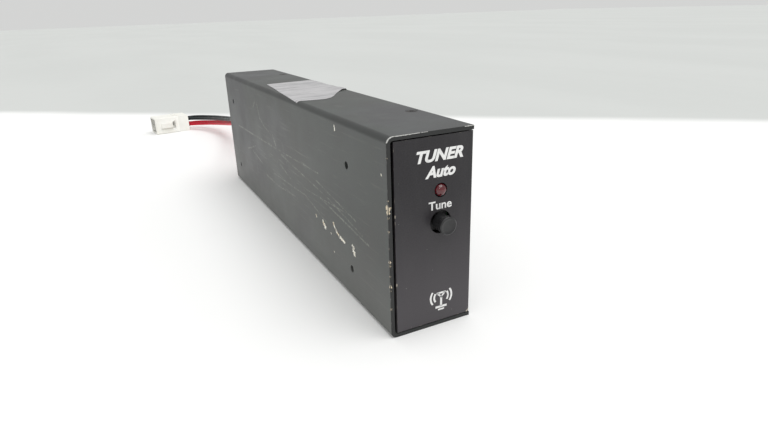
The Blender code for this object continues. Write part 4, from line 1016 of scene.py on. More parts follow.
def on_front(mesh, low_x, high_x, low_z, high_z):
    """Fit a mesh drawn on the XY plane into a window of the front face."""
    xs = [v.co.x for v in mesh.vertices]
    ys = [v.co.y for v in mesh.vertices]
    zs = [v.co.z for v in mesh.vertices]
    wide = (high_x - low_x) * MM / (max(xs) - min(xs))
    tall = (high_z - low_z) * MM / (max(ys) - min(ys))
    for vertex in mesh.vertices:
        x, y, z = vertex.co
        depth = (z - min(zs)) / (max(zs) - min(zs))
        vertex.co = (
            low_x * MM + (x - min(xs)) * wide,
            FRONT + 0.01 * MM - INK_LIFT * depth,
            low_z * MM + (y - min(ys)) * tall,
        )
    return mesh


def word(name, text, window, shear, weight):
    """A word as a thin mesh on the front face."""
    curve = bpy.data.curves.new(name, "FONT")
    curve.body = text
    curve.shear = shear
    curve.offset = weight
    curve.extrude = 0.02
    curve.resolution_u = 5
    thing = bpy.data.objects.new(f"{name}_work", curve)
    SCENE.collection.objects.link(thing)
    bpy.context.view_layer.update()
    graph = bpy.context.evaluated_depsgraph_get()
    mesh = bpy.data.meshes.new_from_object(thing.evaluated_get(graph))
    bpy.data.objects.remove(thing, do_unlink=True)
    return outwards(on_front(outwards(mesh, 1e-6), *window))


# %% Words on the front
words = {
    "title_upper": ("TUNER", (-6.5, 13.8, 69.5, 74.1), 0.28, 0.042),
    "title_lower": ("Auto", (-2.9, 10.5, 63.3, 67.9), 0.28, 0.042),
    "button_label": ("Tune", (-1.4, 8.9, 50.6, 54.0), 0.0, 0.020),
}
for name, (text, window, shear, weight) in words.items():
    piece(name, word(name, text, window, shear, weight), PRINT_INK, "case", sharp=None)


# %% Aerial mark
def stroke(points, width):
    """A flat ribbon along a path on the XY plane, a little thick, closed all round."""
    points = [Vector((x, y, 0.0)) for x, y in points]
    rings = []
    for index, point in enumerate(points):
        ahead = points[min(index + 1, len(points) - 1)] - points[max(index - 1, 0)]
        across = Vector((-ahead.y, ahead.x, 0.0)).normalized() * width / 2
        up = Vector((0, 0, 0.02))
        rings.append([point - across, point + across, point + across + up, point - across + up])
    mesh = walked("stroke", rings, False)
    count = len(mesh.vertices)
    shape = bmesh.new()
    shape.from_mesh(mesh)
    shape.verts.ensure_lookup_table()
    for corner in ((0, 1, 2, 3), tuple(range(count - 4, count))):
        shape.faces.new([shape.verts[i] for i in corner])
    bmesh.ops.recalc_face_normals(shape, faces=shape.faces)
    shape.to_mesh(mesh)
    shape.free()
    return mesh


def wave(radius, middle_turn, spread):
    """An arc round the top of the mast."""
    turns = [radians(middle_turn - spread + 2 * spread * i / 16) for i in range(17)]
    return [(radius * cos(t), 0.8 + radius * sin(t)) for t in turns]


strokes = [
    stroke([(0, -3.6), (0, 1.1)], 0.95), stroke([(-1.7, 2.7), (0, 0.7), (1.7, 2.7)], 0.85),
    stroke([(-2.1, 2.7), (2.1, 2.7)], 0.8), stroke([(-2.6, -3.8), (2.6, -3.8)], 1.0),
    stroke([(-1.4, -5.1), (1.4, -5.1)], 0.7),
]
for radius in (3.2, 4.8):
    strokes += [stroke(wave(radius, turn, 36), 0.80) for turn in (0, 180)]
mark = merged("aerial_mark", *strokes)
piece("aerial_mark", on_front(mark, -0.9, 9.8, 6.6, 15.6), PRINT_INK, "case", sharp=None)

# %% [markdown]
# ## Clear tape
# A strip of clear film lies across the top and folds down the far side. Its edges are cut by hand: the
# front edge runs askew, one corner wraps onto the rounded edge, and the right front corner stands loose. It
# is a fine grid laid over the cover, so it follows the fold exactly, with small wrinkles that run across it
# and a little air under the middle.

# %% Tape outline
TAPE_FRONT = (
    (-18.7, 97.0), (-14.0, 95.2), (-9.0, 94.2), (-5.0, 94.0), (-2.4, 94.8), (0.6, 97.0), (4.0, 101.8),
    (8.0, 108.6), (12.0, 114.6), (15.4, 118.2), (19.0, 119.6),
)
TAPE_REAR = ((-11.7, 172.0), (3.4, 173.4), (19.0, 174.8))
TAPE_LEFT = ((-18.7, 97.0), (-16.1, 128.4), (-13.6, 150.7), (-11.7, 172.0))
TAPE_RIGHT = ((19.0, 119.6), (19.0, 142.6), (19.0, 162.4), (19.0, 174.8))
FLAP = 9.0
TAPE_BEND = 0.9
TAPE_COLUMNS, FLAP_COLUMNS, TAPE_ROWS = 90, 26, 110


def along_line(points, share):
    """The place at a share of a polyline's length."""
    points = [Vector(point) for point in points]
    lengths = [(b - a).length for a, b in zip(points, points[1:])]
    goal = share * sum(lengths)
    for start, end, length in zip(points, points[1:], lengths):
        if goal <= length or end is points[-1]:
            return start.lerp(end, min(1.0, goal / length))
        goal -= length


def tape_spot(s, t):
    """A place on the flat strip: s runs from left to right and t from front to rear."""
    low, high = along_line(TAPE_FRONT, s), along_line(TAPE_REAR, s)
    left, right = along_line(TAPE_LEFT, t), along_line(TAPE_RIGHT, t)
    corners = (
        (1 - s) * (1 - t) * Vector(TAPE_FRONT[0]) + s * (1 - t) * Vector(TAPE_FRONT[-1])
        + (1 - s) * t * Vector(TAPE_REAR[0]) + s * t * Vector(TAPE_REAR[-1])
    )
    return (1 - t) * low + t * high + (1 - s) * left + s * right - corners


def wrinkle(x, y):
    """Height of the film over the paint, in millimetres."""
    skew = y + 0.16 * x
    long_folds = 1 - abs(noise.noise(Vector((x * 0.035, skew * 0.23, 4.1))) * 2.4)
    fine_folds = 1 - abs(noise.noise(Vector((x * 0.10, skew * 0.62, 8.7))) * 2.6)
    swell = max(0.0, noise.noise(Vector((x * 0.09, y * 0.07, 1.3))) + 0.15)
    return 0.16 * max(0.0, long_folds) ** 3 + 0.07 * max(0.0, fine_folds) ** 3 + 0.25 * swell


# %% Tape mesh
def tape_place(x, behind, down, border):
    """The flat strip laid over the cover: over the left fold, across the top and down the right side."""
    loose = 0.75 * exp(-((x - 16.0) / 4.0) ** 2 - ((behind - 122.0) / 9.0) ** 2)
    lift = 0.10 + min(1.0, border * 9) * wrinkle(x, behind + down * 0.4) + loose
    radius = COVER_FOLD / MM
    fold_x = LEFT / MM + radius
    top = TOP / MM
    if x < fold_x:
        turn = (fold_x - x) / radius * 0.8
        reach = radius + lift
        return Vector((fold_x - reach * sin(turn), behind, top - radius + reach * cos(turn)))
    if down <= 0:
        return Vector((x, behind, top + lift))
    arc = TAPE_BEND * pi / 2
    side = RIGHT / MM + 0.25 + 0.6 * wrinkle(x + down, behind)
    if down < arc:
        turn = down / TAPE_BEND
        x = side - TAPE_BEND + TAPE_BEND * sin(turn)
        return Vector((x, behind, top + lift - TAPE_BEND + TAPE_BEND * cos(turn)))
    return Vector((side, behind, top + lift - TAPE_BEND - (down - arc)))


columns = [(i / TAPE_COLUMNS, 0.0) for i in range(TAPE_COLUMNS + 1)]
columns += [(1.0, FLAP * (i + 1) / FLAP_COLUMNS) for i in range(FLAP_COLUMNS)]
tape = bpy.data.meshes.new("clear_tape_film")
tape_points = []
for row in range(TAPE_ROWS + 1):
    t = row / TAPE_ROWS
    ragged_end = 0.5 * noise.noise(Vector((row * 0.13, 2.0, 0.0)))
    for s, down in columns:
        spot = tape_spot(s, t)
        x = min(spot.x, RIGHT / MM - 0.35)
        place = tape_place(x, spot.y, down * (1 + 0.06 * ragged_end), min(s, t, 1 - t))
        tape_points.append(place * MM + Vector((0, FRONT, 0)))
width = len(columns)
tape.from_pydata(tape_points, [], [
    (r * width + c, r * width + c + 1, (r + 1) * width + c + 1, (r + 1) * width + c)
    for r in range(TAPE_ROWS) for c in range(width - 1)
])


def film_thickness(thing, others):
    """A thin wall on the film's outer side."""
    wall = thing.modifiers.new("film", "SOLIDIFY")
    wall.thickness = 0.06 * MM
    wall.offset = 1.0


def tape_film():
    """Clear film painted light grey, a painted reflection of the bright room: half see-through, with whiter
    folds and streaks.
    """
    material, tree, shader, place = new_material("tape_film")
    streaks = stretched(tree, place, (34.0, 330.0, 34.0), (0.0, 0.0, radians(-9.0)))
    streaks = speckle(tree, streaks, 1.0, 4.0, 0.6)
    broad = speckle(tree, place, 70.0, 3.0)
    # Painted reflection: the film's light grey colour stands in for the white surroundings that clear film
    # reflects.
    film = blend(tree, fade(tree, streaks, 0.42, 0.72), (0.60, 0.59, 0.60), (0.40, 0.40, 0.41))
    feed(
        tree, shader,
        Base_Color=film,
        Alpha=sums(tree, "MULTIPLY", fade(tree, streaks, 0.40, 0.80, 0.86, 0.72),
                   fade(tree, broad, 0.3, 0.7, 1.0, 0.90)),
        Roughness=fade(tree, broad, 0.3, 0.7, 0.34, 0.46),
    )
    bumped(tree, shader, streaks, 0.08 * MM, 0.35)
    return material


film = baked(tape, film_thickness)
piece("clear_tape_film", film, tape_film(), "case", ["clear_tape"], sharp=60.0)

# %% [markdown]
# ## Push button
# The cap is a small turned plastic knob with a dished top and a stepped skirt. It rides on the button's own
# body, so it sinks into the panel when pressed.


# %% Moulded plastics
def moulded(name, dark, light, grains, rough, depth=0.03, gloss=0.0):
    """Moulded plastic: two close tones, a fine skin and a little dust in it."""
    material, tree, shader, place = new_material(name, Coat_Weight=gloss)
    grain = use(tree, GRAIN, Place=place, Grains=grains, Patches=150.0)
    tone = blend(tree, fade(tree, grain["Broad"], 0.3, 0.7), dark, light)
    dust = use(tree, NICKS, Place=place, Cells=900.0, Size=0.12, Share=0.06)["Mask"]
    tone = blend(tree, sums(tree, "MULTIPLY", dust, 0.35), tone, (0.55, 0.54, 0.50))
    feed(tree, shader, Base_Color=tone, Roughness=fade(tree, grain["Broad"], 0.3, 0.7, rough, rough + 0.12))
    bumped(tree, shader, grain["Fine"], depth * MM, 0.5)
    return material


BUTTON_PLASTIC = moulded("button_plastic", (0.012, 0.012, 0.013), (0.020, 0.020, 0.021), 3000.0, 0.30)
BLACK_PLASTIC = moulded("black_plastic", (0.016, 0.016, 0.017), (0.028, 0.028, 0.029), 1500.0, 0.45)
RUBBER = moulded("grommet_rubber", (0.018, 0.018, 0.018), (0.032, 0.031, 0.030), 2200.0, 0.62, 0.06)


# %% Button cap
cap = [
    (0.0, 5.32), (1.2, 5.34), (2.2, 5.45), (2.8, 5.66), (3.15, 5.80), (3.65, 5.42),
    (3.65, 3.55), (3.35, 3.25), (3.35, -0.82), (1.9, -0.82), (1.9, 3.2), (0.0, 3.2),
]
cap = turned("button_cap", rounded(in_mm(cap), 0.22 * MM, 4), (BUTTON.x, FRONT, BUTTON.z), "-Y", steps=96)
piece("button_cap", cap, BUTTON_PLASTIC, "tune_button", ["tune_button"], sharp=50.0)

# %% [markdown]
# ## Status lamp
# A five millimetre lamp: a clear red lens with a domed nose and a rim, and a tiny bright cup inside it that
# gives the lamp its spark. Two bent leads run back to the board.


# %% Lamp finishes
def red_lens():
    """Clear red epoxy with slight haze."""
    clear = dict(Transmission_Weight=0.30, IOR=1.5, Coat_Weight=0.6)
    material, tree, shader, place = new_material("red_lens", **clear)
    haze = speckle(tree, place, 260.0, 2.0)
    tone = blend(tree, fade(tree, haze, 0.3, 0.7), (0.10, 0.004, 0.009), (0.15, 0.007, 0.014))
    feed(tree, shader, Base_Color=tone, Roughness=fade(tree, haze, 0.3, 0.7, 0.04, 0.09))
    return material


def metal(name, tone, dull, rough, grains=900.0, spots=0.25):
    """Bare or plated metal with tarnish, a fine grain and handling marks."""
    material, tree, shader, place = new_material(name)
    grain = use(tree, GRAIN, Place=place, Grains=grains, Patches=110.0)
    tarnish = fade(tree, grain["Broad"], 0.42, 0.72, 0.0, spots * 2)
    surface = blend(tree, tarnish, tone, dull)
    surface = blend(tree, fade(tree, grain["Fine"], 0.4, 0.8, 0.0, 0.3), surface, dull)
    feed(
        tree, shader, Base_Color=surface,
        Metallic=fade(tree, tarnish, 0.0, 1.0, 1.0, 0.75),
        Roughness=fade(tree, grain["Fine"], 0.3, 0.7, rough, rough + 0.18),
    )
    bumped(tree, shader, grain["Fine"], 0.02 * MM, 0.4)
    return material


RED_LENS = red_lens()
NICKEL = metal("nickel_plate", (0.66, 0.64, 0.60), (0.34, 0.32, 0.28), 0.22)
BRASS = metal("brass", (0.74, 0.55, 0.26), (0.40, 0.28, 0.13), 0.28)
STEEL = metal("bright_steel", (0.60, 0.60, 0.61), (0.36, 0.35, 0.34), 0.30)
BLACK_SCREW = metal("black_screw", (0.035, 0.035, 0.037), (0.16, 0.13, 0.11), 0.38, 1200.0, spots=0.35)

# %% Lamp
LAMP_PITCH = 2.54 * MM
LAMP_LEAD = 0.5 * MM
dome = [(2.5 * sin(pi / 2 * i / 20), 1.7 - 2.5 * (1 - cos(pi / 2 * i / 20))) for i in range(21)]
lens = in_mm(dome + [(2.5, -5.9), (2.9, -5.9), (2.9, -6.9), (0.0, -6.9)])
lens = turned("lamp_lens", lens, LAMP, "-Y", steps=64)
foot_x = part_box("status_lamp")[1].x
bits = []
for sign in (-1, 1):
    z = LAMP.z + sign * LAMP_PITCH / 2
    run = block("run", (LAMP_LEAD, 3.6 * MM, LAMP_LEAD), (LAMP.x, FRONT + 8.6 * MM, z))
    size = (foot_x - LAMP.x + LAMP_LEAD, LAMP_LEAD, LAMP_LEAD)
    drop = block("drop", size, ((foot_x + LAMP.x) / 2, FRONT + 10.3 * MM, z))
    bits.append(softened(carved(run, drop, operation="UNION"), 0.08 * MM, 2))
piece("lamp_lens", lens, RED_LENS, "case", ["status_lamp"], sharp=40.0)
piece("lamp_leads", merged("lamp_leads", *bits), STEEL, "case", sharp=None)
cup = in_mm([(0.0, -2.3), (0.55, -2.3), (1.0, -1.55), (1.15, -1.6), (1.15, -3.2), (0.0, -3.2)])
piece("lamp_cup", turned("lamp_cup", cup, LAMP, "-Y", steps=32), STEEL, "case")

# %% [markdown]
# ## Cover screws
# Four countersunk cross-head screws hold the cover. One screw is made once, with its recess cut by a tapered
# cross, and the second tree repeats it at four points, each turned to its own outward direction.


# %% Screws
def cross_bit(reach, width, depth, top):
    """The tapered cross that cuts a screw's recess."""
    arms = []
    for turn in (0, 90):
        arm = block("arm", (2 * reach, width, depth * 2), (0, 0, top))
        for vertex in arm.vertices:
            if vertex.co.z < top:
                vertex.co.x *= 0.45
                vertex.co.y *= 0.7
        arm.transform(Matrix.Rotation(radians(turn + 20), 4, "Z"))
        arms.append(arm)
    return carved(arms[0], arms[1], operation="UNION")


screw = in_mm(
    [(0.0, -0.04), (1.2, -0.05), (2.3, -0.12), (2.6, -0.28), (1.3, -1.50)]
    + [(1.25, -1.6 - 0.07 * i) for i in range(62)] + [(0.9, -6.5), (0.0, -6.5)]
)
screw = turned("cover_screw", screw, (0, 0, 0), "+Z", steps=48,
               thread=(-6.4 * MM, -1.7 * MM, 0.5 * MM, 0.16 * MM, 1.2 * MM))
screw = softened(carved(screw, cross_bit(1.5 * MM, 0.55 * MM, 0.95 * MM, 0.0)), 0.05 * MM, 2)
spots = [(place, (0.0, 0.0, 1.0 if way == "+Z" else -1.0)) for _, (place, way) in sorted(SCREWS.items())]
screws = copies("cover_screws", screw, spots, BLACK_SCREW)
names = [f"cover_screw_{name}" for name in sorted(SCREWS)]
piece("cover_screws", screws, BLACK_SCREW, "case", names, sharp=None)

# %% [markdown]
# ## Plug
# The white plug is a six-way nylon housing with four ways in use. Its mating end is open, with a tube round
# each contact; its other end has six wire holes. It is cut from a block by Booleans and then softened.


# %% Nylon
def nylon():
    """Natural nylon: milky, slightly yellow, waxy."""
    material, tree, shader, place = new_material("plug_nylon")
    grain = use(tree, GRAIN, Place=place, Grains=1400.0, Patches=90.0)
    tone = blend(tree, fade(tree, grain["Broad"], 0.3, 0.7), (0.88, 0.87, 0.80), (0.93, 0.92, 0.87))
    feed(tree, shader, Base_Color=tone, Roughness=fade(tree, grain["Fine"], 0.3, 0.7, 0.36, 0.50))
    bumped(tree, shader, grain["Fine"], 0.03 * MM, 0.4)
    return material


PLUG_NYLON = nylon()
ALONG_PLUG = PLUG_FRAME @ Matrix.Translation((0, 0, PLUG_SIZE.z / 2))
PLUG_WAYS = [(c * CONTACT_PITCH, r * CONTACT_PITCH / 2) for c in (-1, 0, 1) for r in (-1, 1)]


def plug_rod(name, radius, low, high, spot, steps=40):
    """A cylinder along the plug, at one of its ways."""
    mesh = rod(name, radius * MM, low * MM, high * MM, (0, 0, 0), "+Z", steps)
    mesh.transform(Matrix.Translation((0, *spot)) @ Matrix.Rotation(pi / 2, 4, "Y"))
    return mesh


# %% Plug housing
length, width, height = PLUG_SIZE
body = softened(block("body", PLUG_SIZE, (0, 0, 0)), 1.1 * MM, 3)
waist = [
    block("waist", (13 * MM, 1.2 * MM, 30 * MM), (length / 2 - 4.5 * MM, side * (width / 2), 0))
    for side in (-1, 1)
]
mouth = block("mouth", (18 * MM, width - 3.2 * MM, height - 3.2 * MM), (-length / 2 + 5 * MM, 0, 0))
body = carved(body, softened(mouth, 0.8 * MM), *waist)
tubes = [plug_rod(f"tube_{i}", 2.75, -16.6, -3.0, spot) for i, spot in enumerate(PLUG_WAYS)]
body = carved(body, *tubes, operation="UNION")
bores = [plug_rod(f"bore_{i}", 1.8, -19.0, 19.0, spot) for i, spot in enumerate(PLUG_WAYS)]
bores += [plug_rod(f"sink_{i}", 2.3, 16.2, 19.0, spot) for i, spot in enumerate(PLUG_WAYS)]
ribs = []
for x in (4.0 * MM, 7.0 * MM):
    rib = block("rib", (1.4 * MM, width * 0.8, 1.0 * MM), (x, 0, height / 2 + 0.1 * MM))
    ribs.append(softened(rib, 0.3 * MM))
latches = []
for side in (-1, 1):
    seat = (-6.0 * MM, side * (width / 2 + 0.45 * MM), 0)
    latches.append(softened(block("latch", (12 * MM, 1.5 * MM, 5.5 * MM), seat), 0.4 * MM))
body = carved(carved(body, *ribs, *latches, operation="UNION"), *bores)
body = softened(body, 0.14 * MM, 2)
body.transform(ALONG_PLUG)
plug = piece("plug_body", body, PLUG_NYLON, "case", ["plug_housing"], sharp=None)

# %% Plug contacts
for label, (side, level) in WIRES.items():
    spot = (side * CONTACT_PITCH, level * CONTACT_PITCH / 2)
    pin = in_mm([(0.0, 15.0), (0.45, 15.0), (1.1, 13.6), (1.1, 2.0), (1.35, 1.6), (1.35, -4.0), (1.1, -4.4),
                 (1.1, -9.0), (0.0, -9.0)])
    pin = turned("pin", rounded(pin, 0.2 * MM), (0, 0, 0), "+Z", steps=32)
    pin.transform(ALONG_PLUG @ Matrix.Translation((0, *spot)) @ Matrix.Rotation(-pi / 2, 4, "Y"))
    node = label.replace("wire", "contact")
    piece(f"plug_{node}", pin, BRASS, "case", [node])

# %% [markdown]
# ## Wire insulation
# Soft vinyl, black and red. It is a little dusty and slightly wavy from being bent.


# %% Vinyl
def vinyl(name, dark, light):
    """Vinyl insulation with a faint ripple and dust."""
    material, tree, shader, place = new_material(name, Specular_IOR_Level=0.30)
    grain = use(tree, GRAIN, Place=place, Grains=1700.0, Patches=120.0)
    tone = blend(tree, fade(tree, grain["Broad"], 0.3, 0.7), dark, light)
    tone = blend(tree, fade(tree, grain["Fine"], 0.58, 0.82, 0.0, 0.12), tone, (0.45, 0.43, 0.42))
    feed(tree, shader, Base_Color=tone, Roughness=fade(tree, grain["Broad"], 0.3, 0.7, 0.34, 0.50))
    bumped(tree, shader, grain["Broad"], 0.08 * MM, 0.35)
    return material


BLACK_VINYL = vinyl("black_vinyl", (0.006, 0.010, 0.011), (0.012, 0.019, 0.021))
RED_VINYL = vinyl("red_vinyl", (0.52, 0.008, 0.026), (0.68, 0.014, 0.040))

# %% The lead's finishes
for label, (wire, length) in wires.items():
    side, level = WIRES[label]
    shade = "black" if "black" in label else "red"
    wire.data.materials.append(BLACK_VINYL if shade == "black" else RED_VINYL)
    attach(wire, "case")
    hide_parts(label)
print("cords", list(wires))

# %% [markdown]
# ## Coaxial sockets
# Two threaded bulkhead sockets stand on the rear panel. Each is a plated shell with a fine thread and a
# notched mouth, a hexagonal nut with chamfered corners, a brown insulator and a slotted centre contact. All
# are turned, then cut.


# %% Threads and hexagons
def steps_down(radius, high, low, step):
    """Rings down a straight wall, in millimetres, close enough together to carry a thread."""
    count = round((high - low) / step)
    return [(radius, high + (low - high) * i / count) for i in range(count + 1)]


def hexagon(name, across, low, high, place, towards, chamfer=0.6):
    """A hexagonal prism with its corners turned down at both ends, in millimetres."""
    corner = across / sqrt(3)
    rim = [
        (0, high), (corner - chamfer * 1.8, high), (corner + 0.01, high - chamfer),
        (corner + 0.01, low + chamfer), (corner - chamfer * 1.8, low), (0, low),
    ]
    blank = turned(name, in_mm(rim), place, towards, steps=96)
    flats = in_mm([(0, high + 1), (corner, high + 1), (corner, low - 1), (0, low - 1)])
    flats = turned(f"{name}_flats", flats, place, towards, steps=6)
    return carved(blank, flats, operation="INTERSECT")


def cross_slots(place, size, height, lean=0):
    """Two blocks that cross over an axis along +Y, at a height above its place."""
    blocks = []
    for turn in (lean, lean + 90):
        slot = block("slot", size, (0, 0, height))
        slot.transform(Matrix.Translation(place) @ AIMS["+Y"] @ Matrix.Rotation(radians(turn), 4, "Z"))
        blocks.append(slot)
    return blocks


# %% Sockets
INSULATION = moulded("socket_insulation", (0.16, 0.075, 0.032), (0.24, 0.12, 0.052), 1300.0, 0.38)
for name, place in SOCKETS.items():
    shell = in_mm(
        [(6.8, 15.0), (7.35, 15.0)] + steps_down(7.9, 14.5, -1.8, 0.13)
        + [(10.0, -1.8), (10.0, -4.3), (6.8, -4.3), (6.8, -9.0), (5.4, -9.0), (5.4, 4.0), (6.8, 4.0)]
    )
    shell = turned(f"{name}_shell", shell, place, "+Y", closed=True, steps=80,
                   thread=(3.4 * MM, 14.9 * MM, 1.06 * MM, 0.42 * MM, 7.8 * MM))
    shell = carved(shell, *cross_slots(place, (20 * MM, 1.1 * MM, 1.8 * MM), 15 * MM, 45))
    piece(f"{name}_thread", shell, NICKEL, "case", [f"{name}_shell"], sharp=42.0)
    bore = rod("bore", 8.15 * MM, -5 * MM, 9 * MM, place, "+Y")
    nut = softened(carved(hexagon(f"{name}_hex", 19.0, 0.3, 3.3, place, "+Y"), bore), 0.12 * MM, 2)
    piece(f"{name}_hex_nut", nut, NICKEL, "case", [f"{name}_nut"], sharp=None)
    ring = in_mm([(3.6, 4.0), (5.1, 4.0), (5.1, -9.0), (2.2, -9.0), (2.2, 4.0), (3.6, 4.0)])
    ring = turned(f"{name}_ring", rounded(ring, 0.25 * MM)[:-1], place, "+Y", closed=True, steps=64)
    piece(f"{name}_insulating_ring", ring, INSULATION, "case", [f"{name}_insulator"])
    pin = in_mm([(0, 3.5), (1.3, 3.5), (1.3, 13.2), (1.5, 13.5), (1.75, 13.45), (1.9, 13.2), (1.9, -9.0),
                 (1.5, -10.0), (1.5, -13.0), (0, -13.0)])
    pin = turned(f"{name}_pin", pin, place, "+Y", steps=48)
    slots = cross_slots(place, (6 * MM, 0.35 * MM, 6 * MM), 13.5 * MM)
    pin = softened(carved(pin, *slots), 0.06 * MM, 2)
    piece(f"{name}_centre_pin", pin, BRASS, "case", [f"{name}_contact"], sharp=None)

# %% [markdown]
# ## Control jack, earth stud, wing nut and grommet
# The jack is a moulded round socket with a ring slot and six pin holes. The brass stud has a rolled thread.
# The wing nut is cast, so its parts are joined, remeshed and smoothed until the joints melt together, and
# only then bored. The grommet is soft rubber with rounded lips.

# %% Control jack
front_y = REAR - 1.8 * MM
jack = block("control_socket", (13 * MM, 12 * MM, 12 * MM), (JACK.x, front_y - 6 * MM, JACK.z))
nose = rounded(in_mm([(0, 0.8), (4.9, 0.8), (4.9, -4.0), (0, -4.0)]), 0.3 * MM)
nose = turned("nose", nose, JACK, "+Y", steps=72)
jack = carved(softened(jack, 0.5 * MM, 3), nose, operation="UNION")
slot = in_mm([(4.2, 2.0), (4.2, -5.0), (3.6, -5.0), (3.6, 2.0)])
cuts = [turned("jack_slot", slot, JACK, "+Y", closed=True, steps=64)]
for index in range(6):
    turn = radians(30 + 48 * index)
    spot = JACK + Vector((2.3 * cos(turn), 0, 2.3 * sin(turn))) * MM
    cuts.append(rod(f"jack_pin_{index}", 0.5 * MM, -4 * MM, 3 * MM, spot, "+Y", 20))
cuts.append(block("jack_key", (1.2 * MM, 8 * MM, 0.7 * MM), (JACK.x, REAR, JACK.z - 1.6 * MM)))
jack = softened(carved(jack, *cuts), 0.08 * MM, 2)
piece("control_socket", jack, BLACK_PLASTIC, "case", ["control_jack"], sharp=None)

# %% Earth stud
shank = in_mm([(0, 13.5), (1.45, 13.5)] + steps_down(1.9, 13.05, -3.1, 0.09) + [(0, -3.1)])
shank = turned("earth_stud_thread", shank, STUD, "+Y", steps=48,
               thread=(-1.2 * MM, 13.5 * MM, 0.7 * MM, 0.26 * MM, 1.8 * MM))
head = hexagon("stud_head", 7.0, -4.4, -1.8, STUD, "+Y", 0.4)
shank = carved(shank, head, operation="UNION")
piece("earth_stud_thread", shank, BRASS, "case", ["earth_stud"], sharp=40.0)

# %% Wing nut
WING = ((2.0, 0.9), (5.0, 1.9), (7.2, 4.8), (7.9, 7.1), (7.6, 8.5), (6.3, 8.5), (4.4, 6.4), (2.0, 4.4))


def wing(side):
    """One wing: a rounded plate that stands on the hub."""
    outline = [(side * x, y) for x, y in WING]
    if side < 0:
        outline.reverse()
    points = [Vector((x, z, y)) * MM for z in (-0.75, 0.75) for x, y in outline]
    return outwards(slab("wing", points))


def cast(thing, others):
    """Melt the joints together and round every edge."""
    skin = thing.modifiers.new("skin", "REMESH")
    skin.mode = "VOXEL"
    skin.voxel_size = 0.19 * MM
    smooth = thing.modifiers.new("smooth", "SMOOTH")
    smooth.factor = 0.5
    smooth.iterations = 6


hub = turned("hub", in_mm([(0, 4.7), (2.9, 4.7), (3.55, 0.4), (0, 0.4)]), (0, 0, 0), "+Z", steps=64)
nut = baked(carved(hub, wing(1), wing(-1), operation="UNION"), cast)
nut = carved(nut, rod("nut_bore", 2.15 * MM, -2 * MM, 9 * MM, (0, 0, 0), "+Z", 64))
nut.transform(Matrix.Translation(STUD) @ AIMS["+Y"])
piece("wing_nut_cast", nut, NICKEL, "wing_nut", ["wing_nut"], sharp=50.0)

# %% Grommet
lips = in_mm([
    (4.1, 0.2), (4.1, 2.2), (7.0, 2.2), (7.0, 0.3), (5.2, 0.3), (5.2, -1.8), (7.0, -1.8), (7.0, -3.7),
    (4.1, -3.7), (4.1, 0.2),
])
grommet = turned("rubber_grommet", rounded(lips, 0.7 * MM, 5)[:-1], GROMMET, "+Y", closed=True, steps=72)
piece("rubber_grommet", grommet, RUBBER, "case", ["lead_grommet"], sharp=60.0)

# %% [markdown]
# ## Inside the case
# The board and its parts can't be seen while the case is closed, but each is a part of its own, so each gets
# its real material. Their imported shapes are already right, and stay.


# %% Board laminate
def board_laminate():
    """Green solder mask over copper tracks, with plated holes."""
    material, tree, shader, place = new_material("board_laminate", Coat_Weight=0.3)
    tracks = add(tree, "ShaderNodeTexVoronoi", {"Vector": place, "Scale": 260.0}, distance="MANHATTAN")
    lines = fade(tree, tracks.outputs["Distance"], 0.46, 0.54)
    holes = use(tree, NICKS, Place=place, Cells=330.0, Size=0.22, Share=0.35)["Mask"]
    holes = fade(tree, holes, 0.2, 0.4)
    mask = blend(tree, lines, (0.006, 0.050, 0.018), (0.018, 0.10, 0.036))
    weave = speckle(tree, place, 2600.0, 2.0)
    mask = blend(tree, fade(tree, weave, 0.4, 0.7, 0.0, 0.2), mask, (0.10, 0.16, 0.08))
    feed(tree, shader, Base_Color=blend(tree, holes, mask, (0.70, 0.68, 0.62)), Metallic=holes,
         Roughness=fade(tree, weave, 0.3, 0.7, 0.24, 0.38))
    bumped(tree, shader, sums(tree, "ADD", lines, holes), 0.05 * MM, 0.6)
    return material


# %% Finishes of the inner parts
COPPER = metal("enamelled_copper", (0.70, 0.24, 0.09), (0.38, 0.12, 0.05), 0.20, 1400.0)
RELAY_CASE = moulded("relay_case", (0.030, 0.032, 0.040), (0.045, 0.047, 0.055), 1600.0, 0.28, gloss=0.3)
IRON_POWDER = moulded("iron_powder", (0.36, 0.028, 0.020), (0.46, 0.050, 0.030), 1900.0, 0.42, 0.06, 0.2)
FERRITE = moulded("ferrite", (0.030, 0.030, 0.032), (0.055, 0.055, 0.058), 2100.0, 0.55, 0.06)
CAPACITOR_DIP = moulded("capacitor_dip", (0.26, 0.085, 0.030), (0.34, 0.125, 0.045), 800.0, 0.26, 0.05, 0.5)
CAN_SLEEVE = moulded("can_sleeve", (0.012, 0.016, 0.050), (0.018, 0.024, 0.075), 900.0, 0.24, 0.02, 0.3)
WHITE_PLASTIC = moulded("white_plastic", (0.72, 0.72, 0.69), (0.80, 0.80, 0.77), 1300.0, 0.40)
corners = [f"{level}_{end}" for level in ("high", "low") for end in ("front", "rear")]
inner = {
    board_laminate(): ["main_board"],
    COPPER: ["air_coil", "large_inductor_winding", "small_inductor_winding", "sensor_winding"],
    RELAY_CASE: [f"relay_{i}" for i in range(1, 6)],
    IRON_POWDER: ["large_inductor_core", "small_inductor_core"],
    FERRITE: ["sensor_core"],
    CAPACITOR_DIP: ["mica_capacitor_1", "mica_capacitor_2"],
    CAN_SLEEVE: ["supply_capacitor"],
    WHITE_PLASTIC: ["power_terminal"],
    BLACK_PLASTIC: ["microcontroller", "switch_body", "switch_plunger"],
    BRASS: [f"standoff_{corner}" for corner in corners],
    STEEL: ["return_spring"] + [f"board_screw_{corner}" for corner in corners],
}
for finish, nodes in inner.items():
    for node in nodes:
        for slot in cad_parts[node].material_slots:
            slot.material = finish
print("inner nodes", sum(len(nodes) for nodes in inner.values()))

